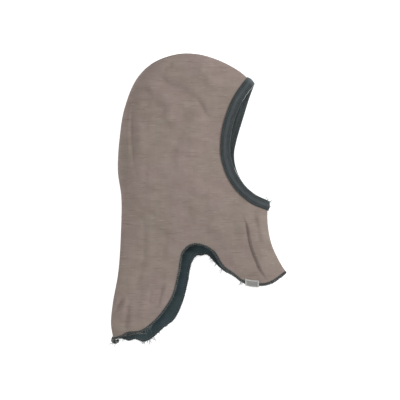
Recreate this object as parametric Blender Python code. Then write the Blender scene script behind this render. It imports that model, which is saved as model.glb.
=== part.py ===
"""A child's double-layer jersey balaclava, laid flat on its left side.

Frame: +X towards the face, +Y towards the crown, +Z up from the table, with the origin under
the middle of the hat.  The right half of the hood lies on top and the left half underneath.
Each half is one flat pattern piece of shell and one of lining, lifted to nested surfaces, and
the two halves meet at the centre seam, which runs over the crown and down the front bib.
"""
import math

import bmesh
import bpy
import numpy as np
from mathutils.geometry import delaunay_2d_cdt

METRES = 0.001  # everything below is in millimetres and is scaled on its way into a mesh

# Driving dimensions
FABRIC = 1.0            # thickness of one layer of jersey
LAYER_GAP = 0.8         # air between the shell and the lining
SEAM_HEIGHT = 7.5       # height of the centre seam above the table
SEAM_GAP = 0.3          # clearance between the two halves along the seam
UPPER_ROLL = 40.0       # distance from the seam over which the upper half rises
LOWER_ROLL = 17.0       # distance from the seam over which the lower half curls up
FLAP_LOFT = 9.0         # rise of the upper half over the seam at the flaps and the face
HOOD_LOFT = 24.0        # rise of the upper half over the seam at the back of the head
FACE_SLOPE = 65.0       # distance from the face edge over which the hood reaches full loft
FLAP_LEVEL = -70.0      # Y below which the hat has only the loft of its flaps
FLAP_SLOPE = 110.0      # length over which the flaps rise into the hood

LINING_INSET = 8.2      # how far the lining's seam lies inside the shell's
INSET_START = 14.0      # distance from a free edge where that inset begins
INSET_RUN = 12.0        # distance over which it reaches its full width
RIDGE_CLEAR = 32.0      # distance from a free edge where the overlocked allowances end

BINDING_WIDTH = 10.5
BINDING_THICKNESS = 0.9
BINDING_GAP = 0.5
OVERLOCK_WIDTH = 3.4
OVERLOCK_THICKNESS = 0.5
OVERLOCK_GAP = 0.35

RIDGE_WIDTH = 3.0       # an overlocked seam allowance
RIDGE_THICKNESS = 1.8
SHELL_RIDGE_INSET = 2.6
LINING_RIDGE_INSET = 6.0
THREAD_RADIUS = 0.25
THREAD_GAP = 0.25       # under a thread that lies on another piece
TOPSTITCH_MARGIN = 1.6  # from the binding's lip to its row of stitches
JOIN_WIDTH = 0.8        # the row of thread that closes the binding into a ring
JOIN_THICKNESS = 0.4
JOIN_MARGIN = 1.0

LABEL_START = 54.5      # X of the label's near end
LABEL_LENGTH = 16.0
LABEL_TOP = 7.6         # how far the label reaches above the raw hem
LABEL_OVERHANG = 1.8    # how far it reaches past the raw hem
LABEL_THICKNESS = 0.5
LABEL_GAP = 0.35        # between the label and the overlocked hem under it
LABEL_STITCH_MARGIN = 1.4
LABEL_STITCH_INSET = 0.6
LABEL_STITCH_THICKNESS = 0.4

SEAM_STEP = 12.0        # spacing of points along the seams
EDGE_STEP = 9.0         # spacing of points along the face edge and the hem
CORNER_STEPS = (2.5, 8.0)   # extra points of those edges beside each seam
SEAM_RINGS = (2.5, 8.0, 17.0)
FACE_RINGS = (5.25, 10.5)
HEM_RINGS = (3.4,)
RING_SPACING = 4.5      # least distance between two points of the rows along the edges
RING_SHARE = 0.8        # and that distance in a row close to its edge, as a share of its offset
RING_CLEARANCE = 0.9    # how near a row may come to another edge, as a share of its offset
LATTICE = 20.0          # spacing of points inside the pattern
LATTICE_CLEARANCE = 0.6     # how near they may come to an edge, as a share of their spacing
LATTICE_SHARE = 0.55        # and to the rows along the edges
END_CLEARANCE = 1.3     # how far the even points stay from the extra ones beside a seam
CURVE_SAMPLES = 24      # samples between two points of a smooth curve

# The pattern, as smooth curves through the points that its shape needs
DRAWN_CENTRE = np.array((0.905, 1.695))
FOREHEAD = (65.0, 134.0)
CHIN = (82.4, -3.5)
TAIL = (-99.3, -162.5)
BIB_CORNER = (103.0, -85.2)
CROWN_SEAM = (FOREHEAD, (48.5, 148.6), (22.1, 162.4), (-7.0, 169.2), (-44.2, 161.6), (-70.0, 142.2),
              (-86.0, 106.0), (-92.0, 70.0), (-94.0, 32.0), (-90.0, 2.0), (-90.5, -40.0),
              (-93.5, -85.0), (-100.0, -122.0), (-102.0, -145.0), TAIL)
FRONT_SEAM = (BIB_CORNER, (94.6, -71.3), (86.0, -52.0), (81.8, -30.0), (81.5, -14.0), CHIN)
UPPER_FACE = (CHIN, (66.0, 4.0), (51.5, 17.0), (41.0, 35.0), (36.2, 56.0), (38.5, 80.0),
              (45.5, 103.0), (53.8, 119.0), FOREHEAD)
LOWER_FACE = (CHIN, (64.0, 5.5), (50.5, 19.0), (43.0, 35.0), (40.8, 52.0), (43.8, 68.5),
              (49.5, 88.0), (54.5, 104.0), (59.0, 118.0), FOREHEAD)
UPPER_HEM = (TAIL, (-82.6, -155.8), (-66.4, -153.2), (-51.8, -142.9), (-38.9, -128.9),
             (-28.6, -111.7), (-22.0, -86.0), (-17.0, -61.5), (-7.0, -53.4), (5.5, -54.2),
             (17.0, -61.3), (27.9, -78.4), (40.3, -87.8), (54.7, -98.0), (75.7, -100.0),
             (86.5, -96.8), BIB_CORNER)
LOWER_HEM = (TAIL, (-73.3, -163.4), (-58.2, -164.6), (-46.4, -154.3), (-28.6, -140.3),
             (-19.0, -121.4), (-12.0, -95.0), (-7.6, -71.5), (2.0, -65.2), (10.5, -65.0),
             (19.0, -70.5), (29.0, -80.6), (40.7, -88.8), (55.0, -97.4), (75.5, -99.2),
             (86.3, -96.2), BIB_CORNER)

STACK = 2 * FABRIC + LAYER_GAP      # shell and lining together
BINDING_SKIN = BINDING_GAP + BINDING_THICKNESS
OVERLOCK_SKIN = OVERLOCK_GAP + OVERLOCK_THICKNESS
FACE_UNDERLAY = BINDING_SKIN + THREAD_GAP + 2 * THREAD_RADIUS
HEM_UNDERLAY = OVERLOCK_SKIN
UNDERLAY_REACH = 1.3                # widths of the wrap over which that edge stays raised
UNDERLAY_SLOPE = 20.0               # distance over which it settles to the table


# ---------------------------------------------------------------- curves in the flat pattern

def smooth_curve(points, step):
    """Centripetal Catmull-Rom curve through the points, at an even spacing near step."""
    p = np.array(points) - DRAWN_CENTRE
    p = np.vstack((2 * p[0] - p[1], p, 2 * p[-1] - p[-2]))
    knots = np.concatenate(([0], np.cumsum(np.linalg.norm(np.diff(p, axis=0), axis=1) ** 0.5)))
    dense = []
    for i in range(1, len(p) - 2):
        k = knots[i - 1:i + 3]
        for t in np.linspace(k[1], k[2], CURVE_SAMPLES, endpoint=False):
            a = [p[i - 1 + j] + (p[i + j] - p[i - 1 + j]) * (t - k[j]) / (k[j + 1] - k[j])
                 for j in range(3)]
            b = [a[j] + (a[j + 1] - a[j]) * (t - k[j]) / (k[j + 2] - k[j]) for j in range(2)]
            dense.append(b[0] + (b[1] - b[0]) * (t - k[1]) / (k[2] - k[1]))
    dense.append(p[-2])
    dense = np.array(dense)
    count = round(arc_lengths(dense)[-1] / step)
    return at_length(dense, np.linspace(0, arc_lengths(dense)[-1], count + 1))


def with_close_ends(line, distances):
    """The polyline with extra points at the given distances from each end."""
    s = arc_lengths(line)
    extra = np.array(distances)
    reserved = extra[-1] * END_CLEARANCE
    middle = s[(s > reserved) & (s < s[-1] - reserved)]
    lengths = np.concatenate(([0], extra, middle, s[-1] - extra[::-1], [s[-1]]))
    return at_length(line, lengths)


def arc_lengths(line):
    return np.concatenate(([0], np.cumsum(np.linalg.norm(np.diff(line, axis=0), axis=1))))


def at_length(line, lengths):
    """Points of a polyline at the given distances along it."""
    s = arc_lengths(line)
    return np.column_stack((np.interp(lengths, s, line[:, 0]), np.interp(lengths, s, line[:, 1])))


def left_normals(line):
    tangents = np.gradient(line, axis=0)
    tangents /= np.linalg.norm(tangents, axis=1)[:, None]
    return np.column_stack((-tangents[:, 1], tangents[:, 0]))


def extended(line, length):
    """The polyline with a straight run of the given length added to each end."""
    first = line[0] - line[1]
    last = line[-1] - line[-2]
    return np.vstack((line[0] + first * length / np.linalg.norm(first), line,
                      line[-1] + last * length / np.linalg.norm(last)))


def project(points, line):
    """Distance from each point to the polyline, and the polyline's left normal there."""
    start = line[:-1]
    run = np.diff(line, axis=0)
    away = points[:, None, :] - start[None]
    t = np.clip((away * run).sum(2) / (run * run).sum(1), 0, 1)
    distance = np.linalg.norm(away - t[..., None] * run, axis=2)
    nearest = distance.argmin(1)
    rows = np.arange(len(points))
    t = t[rows, nearest][:, None]
    normals = left_normals(line)
    normal = normals[nearest] * (1 - t) + normals[nearest + 1] * t
    return distance[rows, nearest], normal / np.linalg.norm(normal, axis=1)[:, None]


def smoothstep(t):
    t = np.clip(t, 0, 1)
    return t * t * (3 - 2 * t)


def rounded(t):
    """A quarter circle: rises steeply from 0 at t = 0 to level at t = 1."""
    return np.sqrt(1 - (1 - np.clip(t, 0, 1)) ** 2)


# ---------------------------------------------------------------- the two halves

class Half:
    """One half of the hat: its flat pattern and the nested surfaces that it is lifted to."""

    SEAM_EXTENSION = 6.0

    def __init__(self, upper, face, hem):
        self.upper = upper
        self.crown = smooth_curve(CROWN_SEAM, SEAM_STEP)
        self.front = smooth_curve(FRONT_SEAM, SEAM_STEP)
        self.face = with_close_ends(smooth_curve(face, EDGE_STEP), CORNER_STEPS)
        self.hem = with_close_ends(smooth_curve(hem, EDGE_STEP), CORNER_STEPS)
        self.seams = [extended(line, self.SEAM_EXTENSION) for line in (self.crown, self.front)]
        self.outline = np.vstack((self.crown[:-1], self.hem[:-1], self.front[:-1], self.face[:-1]))
        self.flat, self.triangles = self.mesh_pattern()

    def to_seam(self, points):
        """Distance to the nearer seam, and the direction from it into the hat."""
        (far_a, normal_a), (far_b, normal_b) = [project(points, line) for line in self.seams]
        nearer = (far_a < far_b)
        return np.minimum(far_a, far_b), np.where(nearer[:, None], normal_a, normal_b)

    def to_free_edge(self, points):
        return np.minimum(project(points, self.face)[0], project(points, self.hem)[0])

    def loft(self, points):
        """How far the upper half's outer face finally rises above the seam."""
        behind_face = smoothstep(project(points, self.face)[0] / FACE_SLOPE)
        above_flaps = smoothstep((points[:, 1] - FLAP_LEVEL) / FLAP_SLOPE)
        return FLAP_LOFT + (HOOD_LOFT - FLAP_LOFT) * behind_face * above_flaps

    def underlay(self, points):
        """How far the lower half's free edges are raised by what is wrapped round them."""
        past_binding = project(points, self.face)[0] - UNDERLAY_REACH * BINDING_WIDTH
        past_overlock = project(points, self.hem)[0] - UNDERLAY_REACH * OVERLOCK_WIDTH
        by_face = 1 - smoothstep(past_binding / UNDERLAY_SLOPE)
        by_hem = 1 - smoothstep(past_overlock / UNDERLAY_SLOPE)
        return np.maximum(FACE_UNDERLAY * by_face, HEM_UNDERLAY * by_hem)

    def lift(self, points, depth, inset=0.0, seam_gap=SEAM_GAP):
        """Raise flat points to the surface that lies depth inside the hat's outer face."""
        distance, inward = self.to_seam(points)
        drawn_in = (depth + inset) * (1 - smoothstep(distance / UPPER_ROLL))
        if self.upper:
            rise = (self.loft(points) - depth) * rounded(distance / UPPER_ROLL)
            height = SEAM_HEIGHT + seam_gap / 2 + rise
        else:
            rim = SEAM_HEIGHT - seam_gap / 2
            drop = rim - depth - self.underlay(points)
            height = rim - drop * rounded(distance / LOWER_ROLL)
        return np.column_stack((points + inward * drawn_in[:, None], height))

    def lining_inset(self, points):
        return LINING_INSET * smoothstep((self.to_free_edge(points) - INSET_START) / INSET_RUN)

    def mesh_pattern(self):
        """Triangulate the pattern, with rows of points that follow its edges."""
        candidates = []
        for line, rings in ((self.crown, SEAM_RINGS), (self.front, SEAM_RINGS),
                            (self.face, FACE_RINGS), (self.hem, HEM_RINGS)):
            for ring in rings:
                spacing = min(ring * RING_SHARE, RING_SPACING)
                row = line + left_normals(line) * ring
                candidates.extend((point, ring * RING_CLEARANCE, spacing) for point in row)
        low = self.outline.min(0)
        high = self.outline.max(0)
        row_height = LATTICE * math.sqrt(0.75)
        for row in range(int((high[1] - low[1]) / row_height) + 1):
            for column in range(int((high[0] - low[0]) / LATTICE) + 1):
                offset = LATTICE * (column + 0.5 * (row % 2))
                point = low + (offset, row * row_height)
                candidates.append((point, LATTICE * LATTICE_CLEARANCE, LATTICE * LATTICE_SHARE))
        border = np.vstack((self.outline, self.outline[:1]))
        kept = list(self.outline)
        for point, clearance, spacing in candidates:
            clear_of_border = project(point[None], border)[0][0] > clearance
            clear_of_others = np.linalg.norm(np.array(kept[len(self.outline):] or [(1e3, 1e3)])
                                             - point, axis=1).min() > spacing
            if clear_of_border and clear_of_others and inside(point, self.outline):
                kept.append(point)
        count = len(self.outline)
        loop = [(i, (i + 1) % count) for i in range(count)]
        result = delaunay_2d_cdt([tuple(p) for p in kept], loop, [], 1, 1e-6)
        return np.array([tuple(v) for v in result[0]]), [tuple(f) for f in result[2]]


def inside(point, outline):
    """Whether a point lies inside a closed outline, by counting crossings."""
    a = outline
    b = np.roll(outline, -1, axis=0)
    spans = (a[:, 1] > point[1]) != (b[:, 1] > point[1])
    a = a[spans]
    b = b[spans]
    crossing = a[:, 0] + (point[1] - a[:, 1]) * (b[:, 0] - a[:, 0]) / (b[:, 1] - a[:, 1])
    return (crossing > point[0]).sum() % 2 == 1


# ---------------------------------------------------------------- solids

def make_material(name, colour, roughness):
    material = bpy.data.materials.new(name)
    material.use_nodes = True
    shader = material.node_tree.nodes["Principled BSDF"]
    shader.inputs["Base Color"].default_value = (*colour, 1.0)
    shader.inputs["Roughness"].default_value = roughness
    shader.inputs["Metallic"].default_value = 0.0
    return material


def add_object(name, vertices, faces, material, smooth_angle=50):
    """Make one object from vertices in millimetres, with its faces pointing out."""
    bm = bmesh.new()
    corners = [bm.verts.new(tuple(v * METRES)) for v in vertices]
    for face in faces:
        bm.faces.new([corners[i] for i in face])
    bmesh.ops.recalc_face_normals(bm, faces=bm.faces)
    mesh = bpy.data.meshes.new(name)
    bm.to_mesh(mesh)
    bm.free()
    mesh.materials.append(material)
    mesh.shade_smooth()
    mesh.set_sharp_from_angle(angle=math.radians(smooth_angle))
    part = bpy.data.objects.new(name, mesh)
    bpy.context.collection.objects.link(part)
    return part


def border_edges(triangles):
    """Edges that belong to one triangle only, in that triangle's direction."""
    edges = [(t[i], t[(i + 1) % 3]) for t in triangles for i in range(3)]
    known = set(edges)
    return [edge for edge in edges if (edge[1], edge[0]) not in known]


def layer(name, outer, inner, triangles, material):
    """A sheet of fabric: two surfaces of one triangulation, closed round the border."""
    count = len(outer)
    faces = list(triangles)
    faces += [tuple(i + count for i in reversed(t)) for t in triangles]
    faces += [(b, a, a + count, b + count) for a, b in border_edges(triangles)]
    return add_object(name, np.vstack((outer, inner)), faces, material)


def sweep(name, rings, material, closed=False):
    """A solid through a list of sections, each a closed loop of the same number of points."""
    size = len(rings[0])
    count = len(rings)
    faces = []
    for i in range(count if closed else count - 1):
        for j in range(size):
            k = (j + 1) % size
            here = i * size
            there = (i + 1) % count * size
            faces.append((here + j, here + k, there + k, there + j))
    if not closed:
        faces.append(tuple(range(size)))
        faces.append(tuple(range((count - 1) * size, count * size)))
    return add_object(name, np.vstack(rings), faces, material)


# ---------------------------------------------------------------- pieces that follow an edge

def edge_frame(half, line, corner_seams):
    """Points along a free edge and the directions from them into the fabric.

    At both ends the direction turns to the seam that the edge runs into.
    """
    turn = 2 * EDGE_STEP
    s = arc_lengths(line)
    directions = left_normals(line)
    for (seam, at_start), from_end in zip(corner_seams, (s, s[-1] - s)):
        along = seam[1] - seam[0] if at_start else seam[-2] - seam[-1]
        along = along / np.linalg.norm(along)
        share = (1 - smoothstep(from_end / turn))[:, None]
        directions = directions * (1 - share) + along * share
    return directions / np.linalg.norm(directions, axis=1)[:, None]


def seam_point(seam, at_start, distance):
    """The point of a seam at a distance from its end, which may be negative."""
    line = extended(seam if at_start else seam[::-1], Half.SEAM_EXTENSION)
    return at_length(line, [distance + Half.SEAM_EXTENSION])[0]


def sections_along(half, line, corner_seams, profile):
    """One section for each point of a free edge.

    The profile is a list of (distance from the edge into the fabric, depth) pairs.
    """
    directions = edge_frame(half, line, corner_seams)
    columns = []
    for reach, depth in profile:
        flat = line + directions * reach
        for index, (seam, at_start) in zip((0, -1), corner_seams):
            flat[index] = seam_point(seam, at_start, reach)
        columns.append(half.lift(flat, depth, seam_gap=0.0))
    return [np.array(section) for section in zip(*columns)]


def edge_loop(name, halves, edge, profile, material):
    """A closed band round an opening: along the upper half's edge and back by the lower's."""
    upper, lower = halves
    if edge == "face":
        corners = ((upper.front, False), (upper.crown, True))
    else:
        corners = ((upper.crown, False), (upper.front, True))
    there = sections_along(upper, getattr(upper, edge), corners, profile)
    back = sections_along(lower, getattr(lower, edge), corners, profile)
    return sweep(name, there + back[-2:0:-1], material, closed=True)


def wrap_profile(width, skin, gap):
    """A U section folded round the raw edges of shell and lining."""
    middle = width / 2
    outside = [(width, -skin), (middle, -skin), (0.0, -skin), (-skin, 0.0), (-skin, STACK),
               (0.0, STACK + skin), (middle, STACK + skin), (width, STACK + skin)]
    within = [(width, STACK + gap), (middle, STACK + gap), (-gap, STACK + gap),
              (-gap, -gap), (middle, -gap), (width, -gap)]
    return outside + within


def thread_profile(reach, depth):
    """A round thread's section, as a diamond, centred at a reach and a depth."""
    r = THREAD_RADIUS
    return [(reach - r, depth), (reach, depth - r), (reach + r, depth), (reach, depth + r)]


def seam_ridge(name, seam, inset, material):
    """The overlocked allowances inside a seam, as a flat cord that stops short of both ends."""
    length = arc_lengths(seam)[-1]
    count = max(2, round((length - 2 * RIDGE_CLEAR) / SEAM_STEP) + 1)
    stations = np.linspace(RIDGE_CLEAR, length - RIDGE_CLEAR, count)
    path = at_length(seam, stations)
    normals = left_normals(path)
    rings = []
    for point, normal in zip(path, normals):
        corners = [(inset, -1), (inset + RIDGE_WIDTH, -1), (inset + RIDGE_WIDTH, 1), (inset, 1)]
        rings.append(np.array([(*(point + normal * reach), SEAM_HEIGHT + side * RIDGE_THICKNESS / 2)
                               for reach, side in corners]))
    return sweep(name, rings, material)


def binding_join(name, half, material):
    """The row of thread that closes the binding into a ring, at the chin."""
    low = SEAM_HEIGHT - JOIN_WIDTH / 2
    high = SEAM_HEIGHT + JOIN_WIDTH / 2
    outward = -(BINDING_SKIN + THREAD_GAP)
    stations = np.linspace(JOIN_MARGIN, BINDING_WIDTH - TOPSTITCH_MARGIN - JOIN_MARGIN, 4)
    rings = []
    for reach in stations:
        point = seam_point(half.front, False, reach)
        inward = project(point[None], half.seams[1])[1][0]
        near = point + inward * outward
        far = point + inward * (outward - JOIN_THICKNESS)
        rings.append(np.array([(*near, low), (*far, low), (*far, high), (*near, high)]))
    return sweep(name, rings, material)


# ---------------------------------------------------------------- the label

def label_patch(half, x_range, reach_range, depths, counts):
    """Four-sided patch over the hem: its two surfaces and their triangles."""
    columns = np.linspace(*x_range, counts[0])
    reaches = np.linspace(*reach_range, counts[1])
    bottom = half.hem[np.argsort(half.hem[:, 0])]
    bib = bottom[bottom[:, 0] > 0]
    flat = np.array([(x, np.interp(x, bib[:, 0], bib[:, 1]) + reach)
                     for reach in reaches for x in columns])
    triangles = []
    for row in range(counts[1] - 1):
        for column in range(counts[0] - 1):
            a = row * counts[0] + column
            triangles += [(a, a + 1, a + counts[0]), (a + 1, a + counts[0] + 1, a + counts[0])]
    return half.lift(flat, depths[0]), half.lift(flat, depths[1]), triangles


def make_label(half, materials):
    start = LABEL_START - DRAWN_CENTRE[0]
    end = start + LABEL_LENGTH
    under = -(OVERLOCK_SKIN + LABEL_GAP)
    over = under - LABEL_THICKNESS
    outer, inner, triangles = label_patch(half, (start, end), (-LABEL_OVERHANG, LABEL_TOP),
                                          (over, under), (5, 3))
    layer("woven_label", outer, inner, triangles, materials["label"])
    stitch_base = over - THREAD_GAP
    for name, x in (("label_stitch_back", start + LABEL_STITCH_MARGIN),
                    ("label_stitch_front", end - LABEL_STITCH_MARGIN)):
        outer, inner, triangles = label_patch(half, (x - THREAD_RADIUS, x + THREAD_RADIUS),
                                              (LABEL_STITCH_INSET - LABEL_OVERHANG,
                                               LABEL_TOP - LABEL_STITCH_INSET),
                                              (stitch_base - LABEL_STITCH_THICKNESS, stitch_base),
                                              (2, 4))
        layer(name, outer, inner, triangles, materials["label_thread"])


# ---------------------------------------------------------------- the whole hat

def make_panels(half, side, materials):
    """The shell and the lining of one half."""
    layer(f"{side}_shell", half.lift(half.flat, 0.0), half.lift(half.flat, FABRIC),
          half.triangles, materials["shell"])
    inset = half.lining_inset(half.flat)
    outside = FABRIC + LAYER_GAP
    layer(f"{side}_lining", half.lift(half.flat, outside, inset),
          half.lift(half.flat, outside + FABRIC, inset), half.triangles, materials["lining"])


def make_edges(halves, materials):
    """The face binding with its stitching, and the overlocked hem."""
    edge_loop("face_binding", halves, "face",
              wrap_profile(BINDING_WIDTH, BINDING_SKIN, BINDING_GAP), materials["binding"])
    reach = BINDING_WIDTH - TOPSTITCH_MARGIN
    clearance = BINDING_SKIN + THREAD_GAP + THREAD_RADIUS
    edge_loop("binding_needle_thread", halves, "face",
              thread_profile(reach, -clearance), materials["thread"])
    edge_loop("binding_bobbin_thread", halves, "face",
              thread_profile(reach, STACK + clearance), materials["thread"])
    binding_join("binding_join_thread", halves[0], materials["thread"])
    edge_loop("hem_overlock", halves, "hem",
              wrap_profile(OVERLOCK_WIDTH, OVERLOCK_SKIN, OVERLOCK_GAP), materials["overlock"])


def make_seams(half, materials):
    """The overlocked seam allowances of the shell and of the lining."""
    for layer_name, inset in (("shell", SHELL_RIDGE_INSET), ("lining", LINING_RIDGE_INSET)):
        seam_ridge(f"{layer_name}_crown_seam_overlock", half.crown, inset, materials["overlock"])
        seam_ridge(f"{layer_name}_bib_seam_overlock", half.front, inset, materials["overlock"])


def clear_scene():
    for thing in list(bpy.data.objects):
        bpy.data.objects.remove(thing, do_unlink=True)


def build():
    clear_scene()
    materials = {
        "shell": make_material("taupe_jersey", (0.26, 0.21, 0.19), 0.95),
        "lining": make_material("petrol_jersey", (0.042, 0.062, 0.07), 0.95),
        "binding": make_material("slate_binding", (0.062, 0.078, 0.087), 0.9),
        "overlock": make_material("charcoal_overlock", (0.055, 0.055, 0.052), 0.85),
        "thread": make_material("slate_thread", (0.1, 0.115, 0.12), 0.7),
        "label": make_material("woven_label", (0.42, 0.42, 0.4), 0.8),
        "label_thread": make_material("label_thread", (0.55, 0.55, 0.52), 0.7),
    }
    upper = Half(True, UPPER_FACE, UPPER_HEM)
    lower = Half(False, LOWER_FACE, LOWER_HEM)
    make_panels(upper, "right", materials)
    make_panels(lower, "left", materials)
    make_edges((upper, lower), materials)
    make_seams(upper, materials)
    make_label(upper, materials)


build()
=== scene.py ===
"""Looks of a child's double-layer jersey balaclava, laid flat on its left side.

The upper (right) and the lower (left) half are each one flat pattern piece of shell and one of
lining.  A point of the flat pattern is lifted to its place in the hat by Half.lift, the same
nested surfaces as the CAD solids, with folds and ripples added.  Lengths are in millimetres
and become metres as they go into a mesh.
"""

import math

import bmesh
import bpy
import numpy as np
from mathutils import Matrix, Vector, noise
from mathutils.bvhtree import BVHTree
from mathutils.geometry import delaunay_2d_cdt
from mathutils.kdtree import KDTree


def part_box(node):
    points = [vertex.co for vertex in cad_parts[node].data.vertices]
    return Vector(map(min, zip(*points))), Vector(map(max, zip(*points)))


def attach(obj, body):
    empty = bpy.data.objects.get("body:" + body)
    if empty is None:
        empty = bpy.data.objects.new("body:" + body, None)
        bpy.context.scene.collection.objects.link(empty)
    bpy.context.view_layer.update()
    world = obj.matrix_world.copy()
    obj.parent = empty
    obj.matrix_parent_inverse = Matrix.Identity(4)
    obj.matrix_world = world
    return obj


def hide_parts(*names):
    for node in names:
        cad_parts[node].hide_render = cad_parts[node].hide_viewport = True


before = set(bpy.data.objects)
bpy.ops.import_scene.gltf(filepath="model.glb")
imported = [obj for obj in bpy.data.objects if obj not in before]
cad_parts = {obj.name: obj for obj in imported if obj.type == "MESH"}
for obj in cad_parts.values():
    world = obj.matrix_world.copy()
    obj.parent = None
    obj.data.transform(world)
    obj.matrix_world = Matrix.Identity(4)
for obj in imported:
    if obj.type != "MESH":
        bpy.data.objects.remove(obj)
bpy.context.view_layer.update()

METRES = 0.001

# ---- the fabric and how it is sewn, as in the CAD solids
FABRIC = 1.0
LAYER_GAP = 0.8
STACK = 2 * FABRIC + LAYER_GAP
SEAM_GAP = 0.1          # left between the halves along the seam
CAD_SEAM_GAP = 0.3      # between the halves of the CAD solids
UPPER_ROLL = 40.0
LOWER_ROLL = 17.0
FLAP_LOFT = 9.0
HOOD_LOFT = 24.0
FACE_SLOPE = 65.0
FLAP_LEVEL = -70.0
FLAP_SLOPE = 110.0
LINING_INSET = 8.2
INSET_START = 14.0
INSET_RUN = 12.0
BINDING_WIDTH = 10.5
BINDING_THICKNESS = 0.9
BINDING_GAP = 0.35
BINDING_CROWN = 1.1     # how far the rolled binding stands up along its middle
OVERLOCK_WIDTH = 3.4
OVERLOCK_THICKNESS = 0.45
OVERLOCK_GAP = 0.25
WRAP_LIFT = 2.2         # height that the wraps need under the lower half's free edges
OVERLOCK_LIFT = 0.95
UNDERLAY_REACH = 1.3
UNDERLAY_SLOPE = 20.0
PINCH = 0.8             # how far the seam draws the fabric in
PINCH_WIDTH = 3.5
SEAM_EXTENSION = 12.0
BULGE = 1.1             # how far the lower half shows beyond the crown seam
BULGE_REACH = (-74.0, 0.0, 126.0)   # where it does so: from and to x, and above y
BULGE_FADES = (25.0, 12.0)          # lengths over which it fades out, in x and in y
RIPPLE_START = 1.0      # distance from a seam where folds and ripples begin
RIPPLE_RUN = 10.0       # distance over which they reach their full height
TURN = 16.0             # length over which a wrapped edge turns into the seam

# ---- fineness of the meshes
LATTICE = 2.3
EDGE_STEP = 2.0
SHARP_WIDTH = 3.0       # folds narrower than this get rows of their own in the mesh
FOLD_ROWS = (0.0, 0.9, -0.9, 1.9, -1.9, 3.1, -3.1)
FOLD_ROW_STEP = 1.4
SEAM_ROWS = (0.15, 0.6, 1.3, 2.3, 3.6, 5.2, 7.2)
ROW_SHARE = 0.9         # share of its own distance that such a row keeps from every border
EDGE_CLEAR = 1.0        # least distance from the border to a point inside it
POINT_CLEAR = 0.75      # least distance between two points
LATTICE_CLEAR = 0.6     # least distance from the lattice to a border or row, in steps
CURVE_SAMPLES = 24

# ---- the flat pattern
FOREHEAD = (65.0, 134.0)
CHIN = (82.4, -3.5)
TAIL = (-99.3, -162.5)
BIB_CORNER = (103.0, -85.2)
CROWN_SEAM = (FOREHEAD, (48.5, 148.6), (22.1, 162.4), (-7.0, 169.2), (-44.2, 161.6), (-70.0, 142.2),
              (-86.0, 106.0), (-92.0, 70.0), (-94.0, 32.0), (-90.0, 2.0), (-90.5, -40.0),
              (-93.5, -85.0), (-100.0, -122.0), (-102.0, -145.0), TAIL)
FRONT_SEAM = (BIB_CORNER, (94.6, -71.3), (86.0, -52.0), (81.8, -30.0), (81.5, -14.0), CHIN)
UPPER_FACE = (CHIN, (66.0, 4.0), (51.5, 17.0), (41.0, 35.0), (36.2, 56.0), (38.5, 80.0),
              (45.5, 103.0), (53.8, 119.0), FOREHEAD)
LOWER_FACE = (CHIN, (64.0, 5.5), (50.5, 19.0), (43.0, 35.0), (40.8, 52.0), (43.8, 68.5),
              (49.5, 88.0), (54.5, 104.0), (59.0, 118.0), FOREHEAD)
UPPER_HEM = (TAIL, (-87.6, -158.9), (-81.8, -155.6), (-66.4, -153.6), (-51.8, -143.6), (-38.9, -128.9),
             (-28.6, -111.7), (-22.0, -86.0), (-17.0, -61.5), (-7.0, -53.4), (5.5, -54.2),
             (17.0, -61.3), (27.9, -78.4), (40.3, -87.8), (54.7, -98.0), (75.7, -100.0),
             (86.5, -96.8), BIB_CORNER)
LOWER_HEM = (TAIL, (-90.3, -161.8), (-81.2, -164.4), (-73.9, -162.4), (-65.0, -165.4),
             (-58.5, -164.4), (-52.0, -160.0), (-40.6, -149.6), (-28.6, -140.3), (-19.0, -121.4),
             (-12.5, -97.0), (-8.6, -76.0), (-4.0, -67.4), (-0.5, -65.0), (3.2, -65.6), (8.0, -64.2),
             (11.8, -65.0), (15.5, -68.6), (19.5, -73.2), (24.0, -78.0), (29.5, -82.6), (40.7, -88.8),
             (55.0, -97.4), (75.5, -99.2), (86.3, -96.2), BIB_CORNER)


# ---- curves in the flat pattern

def smooth_curve(points, step):
    """Centripetal Catmull-Rom curve through the points, at an even spacing near step."""
    p = np.array(points, float)
    p = np.vstack((2 * p[0] - p[1], p, 2 * p[-1] - p[-2]))
    knots = np.concatenate(([0], np.cumsum(np.linalg.norm(np.diff(p, axis=0), axis=1) ** 0.5)))
    dense = []
    for i in range(1, len(p) - 2):
        k = knots[i - 1:i + 3]
        for t in np.linspace(k[1], k[2], CURVE_SAMPLES, endpoint=False):
            a = [p[i - 1 + j] + (p[i + j] - p[i - 1 + j]) * (t - k[j]) / (k[j + 1] - k[j])
                 for j in range(3)]
            b = [a[j] + (a[j + 1] - a[j]) * (t - k[j]) / (k[j + 2] - k[j]) for j in range(2)]
            dense.append(b[0] + (b[1] - b[0]) * (t - k[1]) / (k[2] - k[1]))
    dense.append(p[-2])
    dense = np.array(dense)
    total = arc_lengths(dense)[-1]
    return at_length(dense, np.linspace(0, total, max(2, round(total / step)) + 1))


def arc_lengths(line):
    return np.concatenate(([0], np.cumsum(np.linalg.norm(np.diff(line, axis=0), axis=1))))


def read_along(line, values, lengths):
    """Values that belong to a polyline's points, read at the given distances along it."""
    s = arc_lengths(line)
    return np.column_stack([np.interp(lengths, s, values[:, i]) for i in range(values.shape[1])])


def at_length(line, lengths):
    """Points of a polyline at the given distances along it."""
    return read_along(line, line, lengths)


def left_normals(line):
    tangents = np.gradient(line, axis=0)
    tangents /= np.linalg.norm(tangents, axis=1)[:, None]
    return np.column_stack((-tangents[:, 1], tangents[:, 0]))


def extended(line, length):
    """The polyline with a straight run of the given length added to each end."""
    first = line[0] - line[1]
    last = line[-1] - line[-2]
    return np.vstack((line[0] + first * length / np.linalg.norm(first), line,
                      line[-1] + last * length / np.linalg.norm(last)))


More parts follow.
